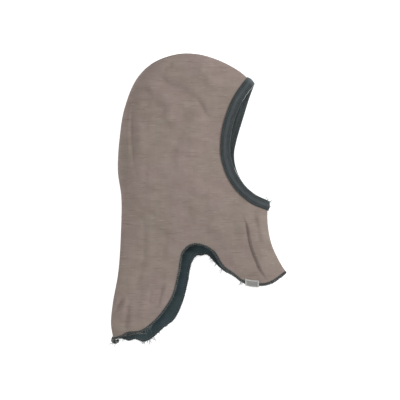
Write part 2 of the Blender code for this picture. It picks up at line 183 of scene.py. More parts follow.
def project(points, line, block=4096):
    """Of each point: distance to the polyline, its left normal there, the side and the arc length."""
    start = line[:-1]
    run = np.diff(line, axis=0)
    length2 = (run * run).sum(1)
    normals = left_normals(line)
    s = arc_lengths(line)
    parts = []
    for first in range(0, len(points), block):
        p = points[first:first + block]
        away = p[:, None, :] - start[None]
        t = np.clip((away * run).sum(2) / length2, 0, 1)
        gap = away - t[..., None] * run
        distance = np.sqrt((gap * gap).sum(2))
        nearest = distance.argmin(1)
        rows = np.arange(len(p))
        t = t[rows, nearest][:, None]
        normal = normals[nearest] * (1 - t) + normals[nearest + 1] * t
        normal /= np.linalg.norm(normal, axis=1)[:, None]
        side = np.sign((gap[rows, nearest] * normal).sum(1))
        parts.append((distance[rows, nearest], normal, side,
                      s[nearest] + t[:, 0] * np.sqrt(length2[nearest])))
    return [np.concatenate(column) for column in zip(*parts)]


def smoothstep(t):
    t = np.clip(t, 0, 1)
    return t * t * (3 - 2 * t)


def rounded(t):
    """A quarter circle: rises steeply from 0 at t = 0 to level at t = 1."""
    return np.sqrt(1 - (1 - np.clip(t, 0, 1)) ** 2)


def inside(points, outline):
    """Which points lie inside a closed outline, by counting crossings."""
    a = outline[None]
    b = np.roll(outline, -1, axis=0)[None]
    y = points[:, 1:2]
    spans = (a[..., 1] > y) != (b[..., 1] > y)
    rise = np.where(spans, b[..., 1] - a[..., 1], 1.0)
    crossing = a[..., 0] + (y - a[..., 1]) * (b[..., 0] - a[..., 0]) / rise
    return (spans & (crossing > points[:, 0:1])).sum(1) % 2 == 1


def pattern_shift():
    """From the pattern's coordinates to the frame's: the CAD shell's box is the pattern's."""
    low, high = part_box("right_shell")
    centre = np.array((low.x + high.x, low.y + high.y)) / 2 / METRES
    outline = np.vstack([smooth_curve(line, EDGE_STEP)
                         for line in (CROWN_SEAM, FRONT_SEAM, UPPER_FACE, UPPER_HEM)])
    return centre - (outline.min(0) + outline.max(0)) / 2


SHIFT = pattern_shift()
SEAM_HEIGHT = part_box("left_shell")[1].z / METRES + CAD_SEAM_GAP / 2


# ---- folds and ripples

# Folds of the upper half: (points of its line, half width, height); below 0 is a valley
FOLDS = (
    (((-58, 146), (-40, 134), (-16, 121), (6, 106)), 7.0, -2.7),
    (((-4, 115), (4, 108), (9, 98), (16, 90)), 4.5, -2.2),
    (((-60, 124), (-50, 129), (-38, 134)), 8.0, 3.0),
    (((-1, 158), (12, 140), (22, 122)), 8.0, 3.0),
    (((36, 140), (38, 122), (30, 104)), 8.0, 0.9),
    (((-66, 107), (-50, 110), (-36, 106)), 5.0, -2.4),
    (((-33, 112), (-33, 98), (-35, 84)), 6.0, 2.0),
    (((-80.5, 118), (-81.5, 77), (-80, 40)), 2.4, 1.2),
    (((-75, 120), (-76, 77), (-74, 28)), 2.3, -1.3),
    (((-68, 96), (-67, 73), (-66, 44)), 4.2, 1.5),
    (((-62, 60), (-60, 30), (-62, 2)), 3.0, -0.6),
    (((-10, 108), (-20, 78), (-30, 52), (-40, 34)), 7.5, -2.0),
    (((10, 100), (0, 74), (-10, 50)), 7.0, 0.9),
    (((30, 84), (20, 60), (18, 38)), 8.0, -0.7),
    (((-64, -12), (-63, -50), (-64, -84)), 3.0, -0.6),
    (((-57, -18), (-56, -50), (-58, -84)), 3.6, 0.5),
    (((-38, -30), (-40, -58), (-44, -80)), 4.0, -0.3),
    (((-90, -30), (-78, -31), (-66, -30.5)), 1.4, -0.8),
    (((-86, -114), (-91, -124), (-98, -135)), 3.6, -1.2),
    (((-81, -115), (-85, -125), (-92, -138)), 3.4, 1.4),
    (((-64, -74), (-68, -88), (-72, -104)), 4.6, -1.6),
    (((-58, -100), (-62, -122), (-67, -148)), 5.0, 1.9),
    (((-36, -76), (-36, -98), (-38, -114)), 3.4, 1.0),
    (((62, -25), (69, -46), (76, -68), (84, -92)), 5.0, 1.0),
    (((80, -12), (80, -27), (82, -45), (89, -66)), 3.0, 1.1),
    (((36, -70), (44, -76), (52, -84)), 5.0, 0.9),
    (((52, -91), (61, -90), (72, -90.5)), 1.3, -0.9),
    (((3, 152), (12, 146), (21, 140)), 2.6, -1.3),
    (((6, 157), (15, 150), (24, 143)), 2.2, -0.6),
    (((-42, 147), (-36, 152), (-28, 156)), 2.8, -1.5),
    (((14, 94), (22, 93), (30, 94)), 1.5, -0.9),
    (((-30, 60), (8, 42), (30, 12)), 14.0, 0.6),
    (((-55, 34), (-22, 4), (16, -20)), 13.0, -0.6),
    (((-20, 24), (10, 4), (40, -6)), 9.0, 0.4),
    (((10, -20), (30, -48), (38, -72)), 8.0, 1.0),
    (((34, -12), (42, -34), (50, -58)), 6.0, -0.9),
    (((-20, -20), (-30, -55), (-34, -78)), 9.0, 0.9),
)
# A pleat steps up sharply to the right and then runs down: (points of its line, half width of
# the step, height, length over which it runs down)
PLEATS = (
    (((50, -16), (57, -31), (59.6, -45), (62, -56), (67, -69), (73, -83), (82, -97)), 1.05, 2.5, 15.0),
    (((66, -12), (70, -31), (76, -57)), 3.4, 2.6, 9.0),
    (((-2, 115), (5, 108), (9, 98), (15, 92)), 2.8, 1.2, 10.0),
    (((-83, -113), (-90, -125), (-99, -138)), 2.4, 2.3, 8.0),
    (((-78.5, -112), (-79.5, -134), (-82, -158)), 3.2, 2.2, 14.0),
    (((-52, -104), (-54, -112), (-56, -122)), 1.6, 0.8, 6.0),
    (((-39, -98), (-42, -112), (-46, -126)), 2.6, 1.3, 7.0),
)
PLEAT_FADE = 0.26
PLEAT_GROOVE = 0.45     # depth of the groove in front of it, as a share of its height
# The lower half's free edges lift off the table here
RUFFLES = (
    (((-73, -170), (-70, -150)), 7.0, 1.6),
    (((-44, -160), (-40, -140)), 6.0, 1.2),
    (((-22, -125), (-35, -120)), 9.0, 1.0),
    (((-8, -68), (-20, -60)), 6.0, 1.4),
    (((3, -70), (2, -55)), 5.0, 1.8),
    (((17, -74), (14, -60)), 4.5, 1.2),
    (((44, 52), (34, 50)), 10.0, 0.8),
    (((52, 96), (42, 100)), 12.0, 1.0),
)
FOLD_STEP = 4.0
FOLD_STRENGTH = 1.15
RELIEF_STEP = 1.0
FOLD_FADE = 0.3         # share of a fold's length over which it rises at each end
COCKLE = 0.20           # height of the fabric's own unevenness
COCKLE_SIZE = 11.0
SWELL = 0.8             # height of its broad waves
SWELL_SIZE = 46.0
LOWER_WAVES = (0.35, 18.0)      # height and size of the lower half's waves
PATTERN_LOW = (-115.0, -180.0)
PATTERN_HIGH = (115.0, 180.0)


def along_fold(points, line, share=FOLD_FADE):
    """Signed distance across a fold, and a weight that fades out past its ends."""
    line = smooth_curve(line, FOLD_STEP)
    distance, _, side, s = project(points, line)
    total = arc_lengths(line)[-1]
    fade = smoothstep(s / (share * total)) * smoothstep((total - s) / (share * total))
    return distance * side, fade


def waves(points, size, seed, octaves=2):
    """Smooth noise over the pattern, between about -1 and 1."""
    return np.array([noise.fractal((x / size, y / size, seed), 0.6, 2.0, octaves)
                     for x, y in points])


def upper_swell(points):
    return SWELL * waves(points, SWELL_SIZE, 3.7) + COCKLE * waves(points, COCKLE_SIZE, 9.1, 3)


def upper_folds(points):
    height = np.zeros(len(points))
    for line, width, rise in FOLDS:
        across, fade = along_fold(points, line)
        height += FOLD_STRENGTH * rise * fade * np.exp(-(across / width) ** 2)
    for line, width, rise, run in PLEATS:
        across, fade = along_fold(points, line, PLEAT_FADE)
        t = across / width
        step = smoothstep((t + 1) / 2) * np.exp(-(np.maximum(t - 1, 0) * width / run) ** 1.5)
        height += rise * fade * (step - PLEAT_GROOVE * np.exp(-((t + 0.9) / 0.8) ** 2))
    return height


def lower_relief(points):
    rise, size = LOWER_WAVES
    height = rise + rise * waves(points, size, 5.3)
    for line, width, rise in RUFFLES:
        distance, *_ = project(points, smooth_curve(line, FOLD_STEP))
        height += rise * np.exp(-(distance / width) ** 2)
    return np.maximum(height, 0.0)


class Relief:
    """A relief worked out once on a fine grid over the pattern, and read between its points."""

    def __init__(self, function):
        self.low = np.array(PATTERN_LOW)
        self.columns, self.rows = ((PATTERN_HIGH - self.low) / RELIEF_STEP).astype(int) + 1
        y, x = np.mgrid[0:self.rows, 0:self.columns] * RELIEF_STEP
        self.points = np.column_stack((x.ravel(), y.ravel())) + self.low
        self.height = np.zeros((self.rows, self.columns))
        self.shape(function)

    def shape(self, function):
        """Add a height that is a function of the place in the pattern."""
        self.height += function(self.points).reshape(self.rows, self.columns)

    def add(self, moved, triangles, rise):
        """Add a rise that is known at the corners of triangles over the pattern."""
        tree = BVHTree.FromPolygons(np.column_stack((moved, rise)).tolist(), triangles.tolist())
        found = np.zeros((self.rows, self.columns))
        for i in range(self.rows):
            for j in range(self.columns):
                x, y = self.low + (j * RELIEF_STEP, i * RELIEF_STEP)
                hit = tree.ray_cast((x, y, 99.0), (0, 0, -1))[0]
                if hit is not None:
                    found[i, j] = hit.z
        for _ in range(SETTLE_SMOOTHING):
            for axis in (0, 1):
                found = (found * 2 + np.roll(found, 1, axis) + np.roll(found, -1, axis)) / 4
        self.height += found

    def __call__(self, points):
        column, row = ((points - self.low) / RELIEF_STEP).T
        column = np.clip(column, 0, self.columns - 1.001)
        row = np.clip(row, 0, self.rows - 1.001)
        i, j = row.astype(int), column.astype(int)
        v, u = row - i, column - j
        h = self.height
        return ((h[i, j] * (1 - u) + h[i, j + 1] * u) * (1 - v)
                + (h[i + 1, j] * (1 - u) + h[i + 1, j + 1] * u) * v)


# ---- the two halves

def fold_rows(line):
    """Close rows of points along a sharp fold, for the mesh to follow it."""
    line = smooth_curve(line, FOLD_ROW_STEP)
    normals = left_normals(line)
    return np.vstack([line + normals * offset for offset in FOLD_ROWS])


def thinned(points):
    """The points without those that lie too close to an earlier one."""
    tree = KDTree(len(points))
    for index, (x, y) in enumerate(points):
        tree.insert((x, y, 0.0), index)
    tree.balance()
    kept = np.ones(len(points), bool)
    for index, (x, y) in enumerate(points):
        if kept[index]:
            for _, other, _ in tree.find_range((x, y, 0.0), POINT_CLEAR):
                if other > index:
                    kept[other] = False
    return points[kept]


class Half:
    """One half of the hat: its flat pattern and the nested surfaces that it is lifted to."""

    def __init__(self, upper, face, hem):
        self.upper = upper
        self.crown = smooth_curve(CROWN_SEAM, EDGE_STEP)
        self.front = smooth_curve(FRONT_SEAM, EDGE_STEP)
        self.face = smooth_curve(face, EDGE_STEP)
        self.hem = smooth_curve(hem, EDGE_STEP)
        self.seams = [extended(line, SEAM_EXTENSION) for line in (self.crown, self.front)]
        self.relief = Relief(upper_swell if upper else lower_relief)
        self.outline = np.vstack((self.crown[:-1], self.hem[:-1], self.front[:-1], self.face[:-1]))

    def to_seam(self, points):
        """Distance to the nearer seam, and the direction from it into the hat."""
        (far_a, normal_a, *_), (far_b, normal_b, *_) = [project(points, line) for line in self.seams]
        nearer = far_a < far_b
        return np.minimum(far_a, far_b), np.where(nearer[:, None], normal_a, normal_b)

    def lift(self, points, depth, inset=0.0, seam_gap=SEAM_GAP):
        """Raise flat points to the surface that lies depth inside the hat's outer face.

        The inset draws them in from the seam as well; "seam" stands for the lining's own.
        """
        seam, inward = self.to_seam(points)
        face = project(points, self.face)[0]
        hem = project(points, self.hem)[0]
        if isinstance(inset, str):
            edge = np.minimum(face, hem)
            inset = LINING_INSET * smoothstep((edge - INSET_START) / INSET_RUN)
        drawn_in = (depth + inset) * (1 - smoothstep(seam / UPPER_ROLL))
        drawn_in = drawn_in + PINCH * np.clip(1 - seam / PINCH_WIDTH, 0, 1) ** 2
        moved = points + inward * np.reshape(drawn_in, (-1, 1))
        ripple = self.relief(moved) * smoothstep((seam - RIPPLE_START) / RIPPLE_RUN)
        if self.upper:
            behind_face = smoothstep(face / FACE_SLOPE)
            above_flaps = smoothstep((points[:, 1] - FLAP_LEVEL) / FLAP_SLOPE)
            loft = FLAP_LOFT + (HOOD_LOFT - FLAP_LOFT) * behind_face * above_flaps
            height = SEAM_HEIGHT + seam_gap / 2 + (loft - depth) * rounded(seam / UPPER_ROLL)
            height = height + ripple
        else:
            by_face = 1 - smoothstep((face - UNDERLAY_REACH * BINDING_WIDTH) / UNDERLAY_SLOPE)
            by_hem = 1 - smoothstep((hem - UNDERLAY_REACH * OVERLOCK_WIDTH) / UNDERLAY_SLOPE)
            underlay = np.maximum(WRAP_LIFT * by_face, OVERLOCK_LIFT * by_hem)
            bulge = BULGE * (1 - smoothstep(seam / LOWER_ROLL))
            left, right, low = BULGE_REACH
            fade_x, fade_y = BULGE_FADES
            bulge *= smoothstep((points[:, 0] - left) / fade_x)
            bulge *= smoothstep((right - points[:, 0]) / fade_x)
            bulge *= smoothstep((points[:, 1] - low) / fade_y)
            moved = moved - inward * bulge[:, None]
            rim = SEAM_HEIGHT - seam_gap / 2
            height = rim - (rim - depth - underlay) * rounded(seam / LOWER_ROLL)
            height = height + ripple
        return np.column_stack((moved + SHIFT, height))

    def mesh_pattern(self):
        """Triangulate the pattern: rows of points along the seams, then an even lattice."""
        border = np.vstack((self.outline, self.outline[:1]))
        rows, own = [], []
        for line in (self.crown, self.front):
            for offset in SEAM_ROWS:
                rows.append(line + left_normals(line) * offset)
                own.append(np.full(len(line), offset))
        rows, own = np.vstack(rows), np.concatenate(own)
        free = np.minimum(project(rows, self.face)[0], project(rows, self.hem)[0])
        rows = rows[(project(rows, border)[0] > own * ROW_SHARE) & (free > EDGE_CLEAR)
                    & inside(rows, self.outline)]
        if self.upper:
            sharp = np.vstack([fold_rows(line) for line, width, *_ in FOLDS + PLEATS
                               if width < SHARP_WIDTH])
            clear = (self.to_seam(sharp)[0] > SEAM_ROWS[-1] + EDGE_CLEAR) & inside(sharp, self.outline)
            rows = np.vstack((rows, sharp[clear & (project(sharp, border)[0] > EDGE_CLEAR)]))
        low = self.outline.min(0)
        high = self.outline.max(0)
        height = LATTICE * math.sqrt(0.75)
        grid = np.array([(low[0] + LATTICE * (i + 0.5 * (j % 2)), low[1] + height * j)
                         for j in range(int((high[1] - low[1]) / height) + 1)
                         for i in range(int((high[0] - low[0]) / LATTICE) + 1)])
        seam = self.to_seam(grid)[0]
        least = LATTICE * LATTICE_CLEAR
        clear = (seam > SEAM_ROWS[-1] + least) & (project(grid, border)[0] > least)
        points = thinned(np.vstack((rows, grid[clear & inside(grid, self.outline)])))
        points = np.vstack((self.outline, points))
        count = len(self.outline)
        loop = [(i, (i + 1) % count) for i in range(count)]
        result = delaunay_2d_cdt([tuple(p) for p in points], loop, [], 1, 1e-5)
        return np.array([tuple(v) for v in result[0]]), np.array([tuple(f) for f in result[2]])


class Edge:
    """A free edge of one half, and the way from it into the fabric."""

    def __init__(self, half, line, start_seam, end_seam):
        self.half = half
        self.line = line
        self.length = arc_lengths(line)[-1]
        self.normals = left_normals(line)
        self.seams = [extended(seam, SEAM_EXTENSION) for seam in (start_seam, end_seam)]
        self.corners = [seam[0] for seam in (start_seam, end_seam)]

    def flat(self, s, reach):
        """Pattern points at distances s along the edge and reach into the fabric."""
        s = np.clip(s, 0, self.length)
        base = at_length(self.line, s)
        normal = read_along(self.line, self.normals, s)
        normal /= np.linalg.norm(normal, axis=1)[:, None]
        reach = np.broadcast_to(reach, s.shape)
        offset = normal * reach[:, None]
        for seam, corner, from_end in zip(self.seams, self.corners, (s, self.length - s)):
            share = (1 - smoothstep(from_end / TURN))[:, None]
            by_seam = at_length(seam, reach + SEAM_EXTENSION) - corner
            offset = offset * (1 - share) + by_seam * share
        return base + offset

    def place(self, s, reach, depth):
        """Points of the hat at distances s along the edge, reach into the fabric, at a depth."""
        return self.half.lift(self.flat(s, reach), depth, seam_gap=0.0)


class Opening:
    """A closed edge: along the upper half and back by the lower half."""

    def __init__(self, upper, lower):
        self.upper = upper
        self.lower = lower
        self.length = upper.length + lower.length

    def place(self, s, reach, depth):
        """Points of the hat at distances s round the opening, reach into the fabric, at a depth."""
        s, reach, depth = np.broadcast_arrays(np.asarray(s, float) % self.length, reach, depth)
        above = s <= self.upper.length
        points = np.zeros((len(s), 3))
        if above.any():
            points[above] = self.upper.place(s[above], reach[above], depth[above])
        if not above.all():
            below = ~above
            points[below] = self.lower.place(self.length - s[below], reach[below], depth[below])
        return points


# ---- meshes

def add_object(name, data):
    piece = bpy.data.objects.new(name, data)
    bpy.context.scene.collection.objects.link(piece)
    return piece


def add_mesh(name, vertices, faces, materials, coordinates, slots=None, angle=60):
    """One object from points in millimetres; coordinates go into its "cloth" attribute."""
    mesh = bpy.data.meshes.new(name)
    mesh.from_pydata((np.asarray(vertices) * METRES).tolist(), [], [tuple(map(int, f)) for f in faces])
    attribute = mesh.attributes.new("cloth", "FLOAT_VECTOR", "POINT")
    attribute.data.foreach_set("vector", np.asarray(coordinates, np.float32).ravel())
    for material in materials:
        mesh.materials.append(material)
    if slots is not None:
        mesh.polygons.foreach_set("material_index", np.asarray(slots, np.int32))
    bm = bmesh.new()
    bm.from_mesh(mesh)
    bmesh.ops.recalc_face_normals(bm, faces=bm.faces)
    bm.to_mesh(mesh)
    bm.free()
    mesh.shade_smooth()
    mesh.set_sharp_from_angle(angle=math.radians(angle))
    return add_object(name, mesh)


def stand_in(piece, node):
    """The piece rides on the hat and stands in for a CAD node, which it hides."""
    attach(piece, "root")
    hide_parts(node)


def border_edges(triangles):
    """Edges that belong to one triangle only, in that triangle's direction."""
    edges = np.vstack((triangles[:, [0, 1]], triangles[:, [1, 2]], triangles[:, [2, 0]]))
    size = triangles.max() + 1
    forward = edges[:, 0] * size + edges[:, 1]
    backward = edges[:, 1] * size + edges[:, 0]
    return edges[~np.isin(backward, forward)]


def sheet_solid(outer, inner, triangles):
    """Vertices and faces of a layer of fabric between two surfaces of one triangulation."""
    count = len(outer)
    border = border_edges(triangles)
    faces = [tuple(t) for t in triangles] + [tuple(t[::-1] + count) for t in triangles]
    faces += [(b, a, a + count, b + count) for a, b in border]
    return np.vstack((outer, inner)), faces


def loft(rings, closed):
    """Faces through rings, an array of (ring, point, 3), with end caps where they stay open."""
    count, size = rings.shape[:2]
    faces = []
    for i in range(count if closed else count - 1):
        here = i * size
        there = (i + 1) % count * size
        faces.extend((here + j, here + (j + 1) % size, there + (j + 1) % size, there + j)
                     for j in range(size))
    if not closed:
        faces.append(tuple(range(size)))
        faces.append(tuple(range((count - 1) * size, count * size)))
    return faces


def swept(columns, closed=True):
    """Vertices and faces of a band through columns of points, one for each place of its profile."""
    rings = np.stack(columns, axis=1)
    return rings.reshape(-1, 3), loft(rings, closed)


def tube(path, radius, sides=6, closed=False):
    """Vertices and faces of a round thread along a path; radius may vary along it."""
    path = np.asarray(path, float)
    if closed:
        tangents = np.roll(path, -1, axis=0) - np.roll(path, 1, axis=0)
    else:
        tangents = np.gradient(path, axis=0)
    tangents /= np.maximum(np.linalg.norm(tangents, axis=1), 1e-9)[:, None]
    side = np.cross(tangents, (0.0, 0.0, 1.0))
    weak = np.linalg.norm(side, axis=1) < 0.05
    side[weak] = np.cross(tangents[weak], (1.0, 0.0, 0.0))
    for i in range(1, len(side)):
        if side[i] @ side[i - 1] < 0:
            side[i] = -side[i]
    side /= np.linalg.norm(side, axis=1)[:, None]
    up = np.cross(side, tangents)
    angles = np.arange(sides) * 2 * math.pi / sides
    radius = np.broadcast_to(radius, len(path))[:, None, None]
    rings = path[:, None] + radius * (np.cos(angles)[None, :, None] * side[:, None]
                                      + np.sin(angles)[None, :, None] * up[:, None])
    return rings.reshape(-1, 3), loft(rings, closed)


class Bundle:
    """Many small solids gathered into one mesh."""

    def __init__(self):
        self.vertices = []
        self.faces = []
        self.coordinates = []
        self.slots = []
        self.count = 0

    def add(self, vertices, faces, coordinates=None, slot=0):
        vertices = np.asarray(vertices)
        self.vertices.append(vertices)
        self.coordinates.append(vertices if coordinates is None else np.asarray(coordinates))
        self.faces.extend(tuple(i + self.count for i in face) for face in faces)
        self.slots.extend(np.broadcast_to(slot, len(faces)))
        self.count += len(vertices)

    def make(self, name, materials, angle=60):
        return add_mesh(name, np.vstack(self.vertices), self.faces, materials,
                        np.vstack(self.coordinates), self.slots, angle)


# ---- settling as cloth

SETTLE_FRAMES = 30
SETTLE_SMOOTHING = 2
SETTLE_ROOM = 2.2       # space under the upper half, which it sinks into
SETTLE_CAP = 2.6
SETTLE_SHARE = 0.5
SETTLE_SLACK = 0.045    # how much longer the cloth is than the surface it starts from
PINNED = 9.0            # the trims hold the cloth this far from its edges
PIN_FADE = 16.0
PILLOW_WAVES = (0.9, 17.0)      # height and size of the unevenness of what it settles on
CLOTH_SKIN = 0.0008     # metres that the cloth keeps from it
CLOTH = {"quality": 7, "mass": 0.004, "tension_stiffness": 12.0, "compression_stiffness": 12.0,
         "shear_stiffness": 4.0, "bending_stiffness": 0.02, "air_damping": 2.0,
         "shrink_min": -SETTLE_SLACK}


def simple_object(name, points, triangles):
    mesh = bpy.data.meshes.new(name)
    mesh.from_pydata((points * METRES).tolist(), [], triangles.tolist())
    return add_object(name, mesh)


def settle(half, flat, triangles):
    """Let the upper half settle as cloth on the layers under it, and keep how far it rose or fell."""
    start = half.lift(flat, 0.0)
    edge = np.minimum(project(flat, half.face)[0], project(flat, half.hem)[0])
    edge = np.minimum(edge, half.to_seam(flat)[0])
    hold = 1 - smoothstep((edge - PINNED) / PIN_FADE)
    under = start.copy()
    rise, size = PILLOW_WAVES
    under[:, 2] -= SETTLE_ROOM * (1 - hold) + rise * (1 - hold) * waves(flat, size, 21.5)
    pillow = simple_object("layers_below", under, triangles)
    pillow.modifiers.new("collision", "COLLISION")
    pillow.collision.thickness_outer = CLOTH_SKIN
    pillow.collision.cloth_friction = 8.0
    cloth = simple_object("settling_cloth", start, triangles)
    pins = cloth.vertex_groups.new(name="pins")
    for index, weight in enumerate(hold):
        pins.add([index], float(weight), "REPLACE")
    modifier = cloth.modifiers.new("cloth", "CLOTH")
    for name, value in CLOTH.items():
        setattr(modifier.settings, name, value)
    modifier.settings.vertex_group_mass = "pins"
    modifier.collision_settings.distance_min = CLOTH_SKIN
    modifier.collision_settings.use_self_collision = False
    modifier.point_cache.frame_start = 1
    modifier.point_cache.frame_end = SETTLE_FRAMES
    for step in range(1, SETTLE_FRAMES + 1):
        bpy.context.scene.frame_set(step)
    settled = cloth.evaluated_get(bpy.context.evaluated_depsgraph_get())
    height = np.array([vertex.co.z for vertex in settled.data.vertices]) / METRES
    rise = np.clip(height - start[:, 2], -SETTLE_CAP, SETTLE_CAP) * (1 - hold) * SETTLE_SHARE
    bpy.context.scene.frame_set(1)
    for helper in (cloth, pillow):
        mesh = helper.data
        bpy.data.objects.remove(helper)
        bpy.data.meshes.remove(mesh)
    half.relief.add(start[:, :2] - SHIFT, triangles, rise)


# ---- materials

LIGHT = 1.36            # what a white surface facing the camera sends back under these lights


def shade(red, green, blue):
    """Surface colour that appears as this sRGB colour in the light of the scene."""
    linear = []
    for value in (red, green, blue):
        value /= 255
        value = value / 12.92 if value <= 0.04045 else ((value + 0.055) / 1.055) ** 2.4
        linear.append(value / LIGHT)
    return (*linear, 1.0)


class Nodes:
    """Short names for building one material."""

    def __init__(self, name):
        self.material = bpy.data.materials.new(name)
        self.material.use_nodes = True
        self.tree = self.material.node_tree
        self.shader = self.tree.nodes["Principled BSDF"]
        attribute = self.tree.nodes.new("ShaderNodeAttribute")
        attribute.attribute_name = "cloth"
        self.cloth = attribute.outputs["Vector"]

    def put(self, socket, value):
        if isinstance(value, bpy.types.NodeSocket):
            self.tree.links.new(value, socket)
        else:
            socket.default_value = value

    def node(self, kind, inputs=(), **settings):
        made = self.tree.nodes.new(kind)
        for key, value in settings.items():
            setattr(made, key, value)
        for key, value in dict(inputs).items():
            self.put(made.inputs[key], value)
        return made

    def scaled(self, scale, offset=(0, 0, 0)):
        """The cloth's coordinates in millimetres, times a scale for each axis."""
        return self.node("ShaderNodeMapping", {"Vector": self.cloth, "Scale": scale,
                                               "Location": offset}).outputs[0]

    def noise(self, scale, detail=2.0, roughness=0.5, offset=(0, 0, 0)):
        return self.node("ShaderNodeTexNoise", {"Vector": self.scaled(scale, offset), "Scale": 1.0,
                                                "Detail": detail, "Roughness": roughness}).outputs[0]

    def math(self, operation, a, b=0.0):
        made = self.node("ShaderNodeMath", operation=operation)
        self.put(made.inputs[0], a)
        self.put(made.inputs[1], b)
        return made.outputs[0]

    def plus(self, a, b):
        return self.math("ADD", a, b)

    def times(self, a, b):
        return self.math("MULTIPLY", a, b)

    def wave(self, value, frequency):
        return self.math("SINE", self.times(value, frequency))

    def span(self, value, low, high, to_low=0.0, to_high=1.0):
        """Map a value's range to another, held at both ends."""
        return self.node("ShaderNodeMapRange", {"Value": value, "From Min": low, "From Max": high,
                                                "To Min": to_low, "To Max": to_high}).outputs[0]

    def mix(self, factor, a, b, blend="MIX"):
        made = self.node("ShaderNodeMix", data_type="RGBA", blend_type=blend)
        self.put(made.inputs[0], factor)
        self.put(made.inputs[6], a)
        self.put(made.inputs[7], b)
        return made.outputs[2]

    def axis(self, index):
        return self.node("ShaderNodeSeparateXYZ", {"Vector": self.cloth}).outputs[index]

    def bump(self, height, distance):
        """Bump by a height between 0 and 1, of a distance in millimetres."""
        made = self.node("ShaderNodeBump", {"Height": height, "Distance": distance * METRES,
                                            "Strength": 1.0})
        self.put(self.shader.inputs["Normal"], made.outputs[0])

    def finish(self, colour, roughness, sheen=0.0, sheen_tint=(1, 1, 1, 1), sheen_roughness=0.5,
               specular=0.3):
        """Set the shader's colour and gloss, and hand back the finished material."""
        inputs = {"Base Color": colour, "Roughness": roughness, "Metallic": 0.0,
                  "Specular IOR Level": specular, "Sheen Weight": sheen,
                  "Sheen Roughness": sheen_roughness, "Sheen Tint": sheen_tint}
        for name, value in inputs.items():
            self.put(self.shader.inputs[name], value)
        return self.material


WALE = 1.05             # width of one column of the jersey's stitches
COURSE = 0.85           # height of one of its rows


def knit_height(n, wale, course):
    """Plain jersey: columns of stitches, each a pair of slanting legs."""
    x = n.math("DIVIDE", n.axis(0), wale)
    y = n.math("DIVIDE", n.axis(1), course)
    across = n.math("ABSOLUTE", n.wave(x, math.pi))
    leg = n.wave(n.plus(y, n.math("PINGPONG", x, 0.5)), 2 * math.pi)
    return n.times(n.plus(n.times(leg, 0.5), 0.5), across)


def heathered_jersey(name, tones, tints, sheen):
    """Wool jersey of mixed fibres, with short slubs along its courses.

    The three tones are its dark, middle and light fibres, and the two tints colour broad areas.
    """
    dark, middle, light = tones
    n = Nodes(name)
    mottle = n.noise((0.045, 0.085, 0.1), 3.0, 0.55)
    fleck = n.noise((0.45, 0.8, 0.5), 2.0, 0.6, (7, 3, 1))
    streak = n.noise((0.055, 0.78, 0.1), 1.0, 0.4, (31, 11, 0))
    nep = n.noise((0.085, 0.74, 0.1), 1.0, 0.4, (83, 57, 0))
    wale = n.noise((0.36, 0.025, 0.1), 2.0, 0.5, (5, 91, 0))
    broad = n.noise((0.030, 0.021, 0.1), 2.0, 0.5, (13, 5, 0))
    colour = n.mix(n.span(mottle, 0.32, 0.68), dark, light)
    colour = n.mix(0.70, colour, middle)
    colour = n.mix(n.span(broad, 0.42, 0.58), n.mix(1.0, colour, tints[0], "MULTIPLY"),
                   n.mix(1.0, colour, tints[1], "MULTIPLY"))
    colour = n.mix(n.span(wale, 0.40, 0.65, 0.0, 0.09), colour, dark)
    colour = n.mix(n.span(fleck, 0.45, 0.75, 0.0, 0.12), colour, light)
    colour = n.mix(n.span(streak, 0.64, 0.69, 0.0, 0.65), colour, dark)
    colour = n.mix(n.span(nep, 0.665, 0.715, 0.0, 0.75), colour, light)
    slub = n.plus(n.span(nep, 0.62, 0.72, 0.0, 0.7), n.span(streak, 0.62, 0.70, 0.0, 0.6))
    stitches = n.times(knit_height(n, WALE, COURSE), 0.45)
    n.bump(n.plus(stitches, n.plus(n.times(slub, 0.5), n.times(fleck, 0.5))), 0.11)
    roughness = n.span(fleck, 0.3, 0.7, 0.88, 0.98)
    return n.finish(colour, roughness, sheen, light, 0.45, 0.15)


RIB_PITCH = 1.25


def ribbed_binding(name, tones, tip):
    """Fine elastic rib whose ribs cross the binding, with a painted highlight along its crown, and
    lighter near its tip.
    """
    dark, middle, light = tones
    n = Nodes(name)
    along = n.axis(0)
    rib = n.math("ABSOLUTE", n.wave(along, math.pi / RIB_PITCH))
    mottle = n.noise((0.16, 0.5, 0.3), 3.0, 0.6)
    fuzz = n.noise((1.6, 1.6, 1.6), 2.0, 0.7, (3, 9, 4))
    colour = n.mix(n.span(mottle, 0.35, 0.65), dark, middle)
    colour = n.mix(n.span(rib, 0.0, 0.8, 0.35, 0.0), colour, dark)
    colour = n.mix(n.span(fuzz, 0.55, 0.8, 0.0, 0.5), colour, light)
    # painted highlight: the colour is lightened where the rolled band stands highest, along its middle
    crown = n.span(n.axis(2), 0.55, 1.0, 0.0, 0.26)
    colour = n.mix(crown, colour, light)
    # lighter within a few millimetres of the binding's tip at the forehead
    from_tip = n.math("ABSOLUTE", n.math("SUBTRACT", along, tip))
    colour = n.mix(n.span(from_tip, 2.5, 6.5, 0.75, 0.0), colour, light)
    n.bump(n.plus(n.times(rib, 0.6), n.times(fuzz, 0.6)), 0.16)
    return n.finish(colour, n.span(fuzz, 0.3, 0.7, 0.78, 0.92), 0.25, light, 0.5, 0.25)


PLY_PITCH = 0.9


def twisted_thread(name, dark, light):
    """Spun thread: slanting plies, with lighter fibres."""
    n = Nodes(name)
    ply = n.noise((0.9, 0.9, 0.9), 3.0, 0.6)
    twist = n.wave(n.plus(n.axis(0), n.axis(1)), 2 * math.pi / PLY_PITCH)
    colour = n.mix(n.span(ply, 0.42, 0.68), dark, light)
    n.bump(n.plus(n.times(twist, 0.4), ply), 0.08)
    return n.finish(colour, 0.75, 0.2, light, 0.5, 0.25)


WARP_PITCH = 0.45
WEFT_PITCH = 0.32


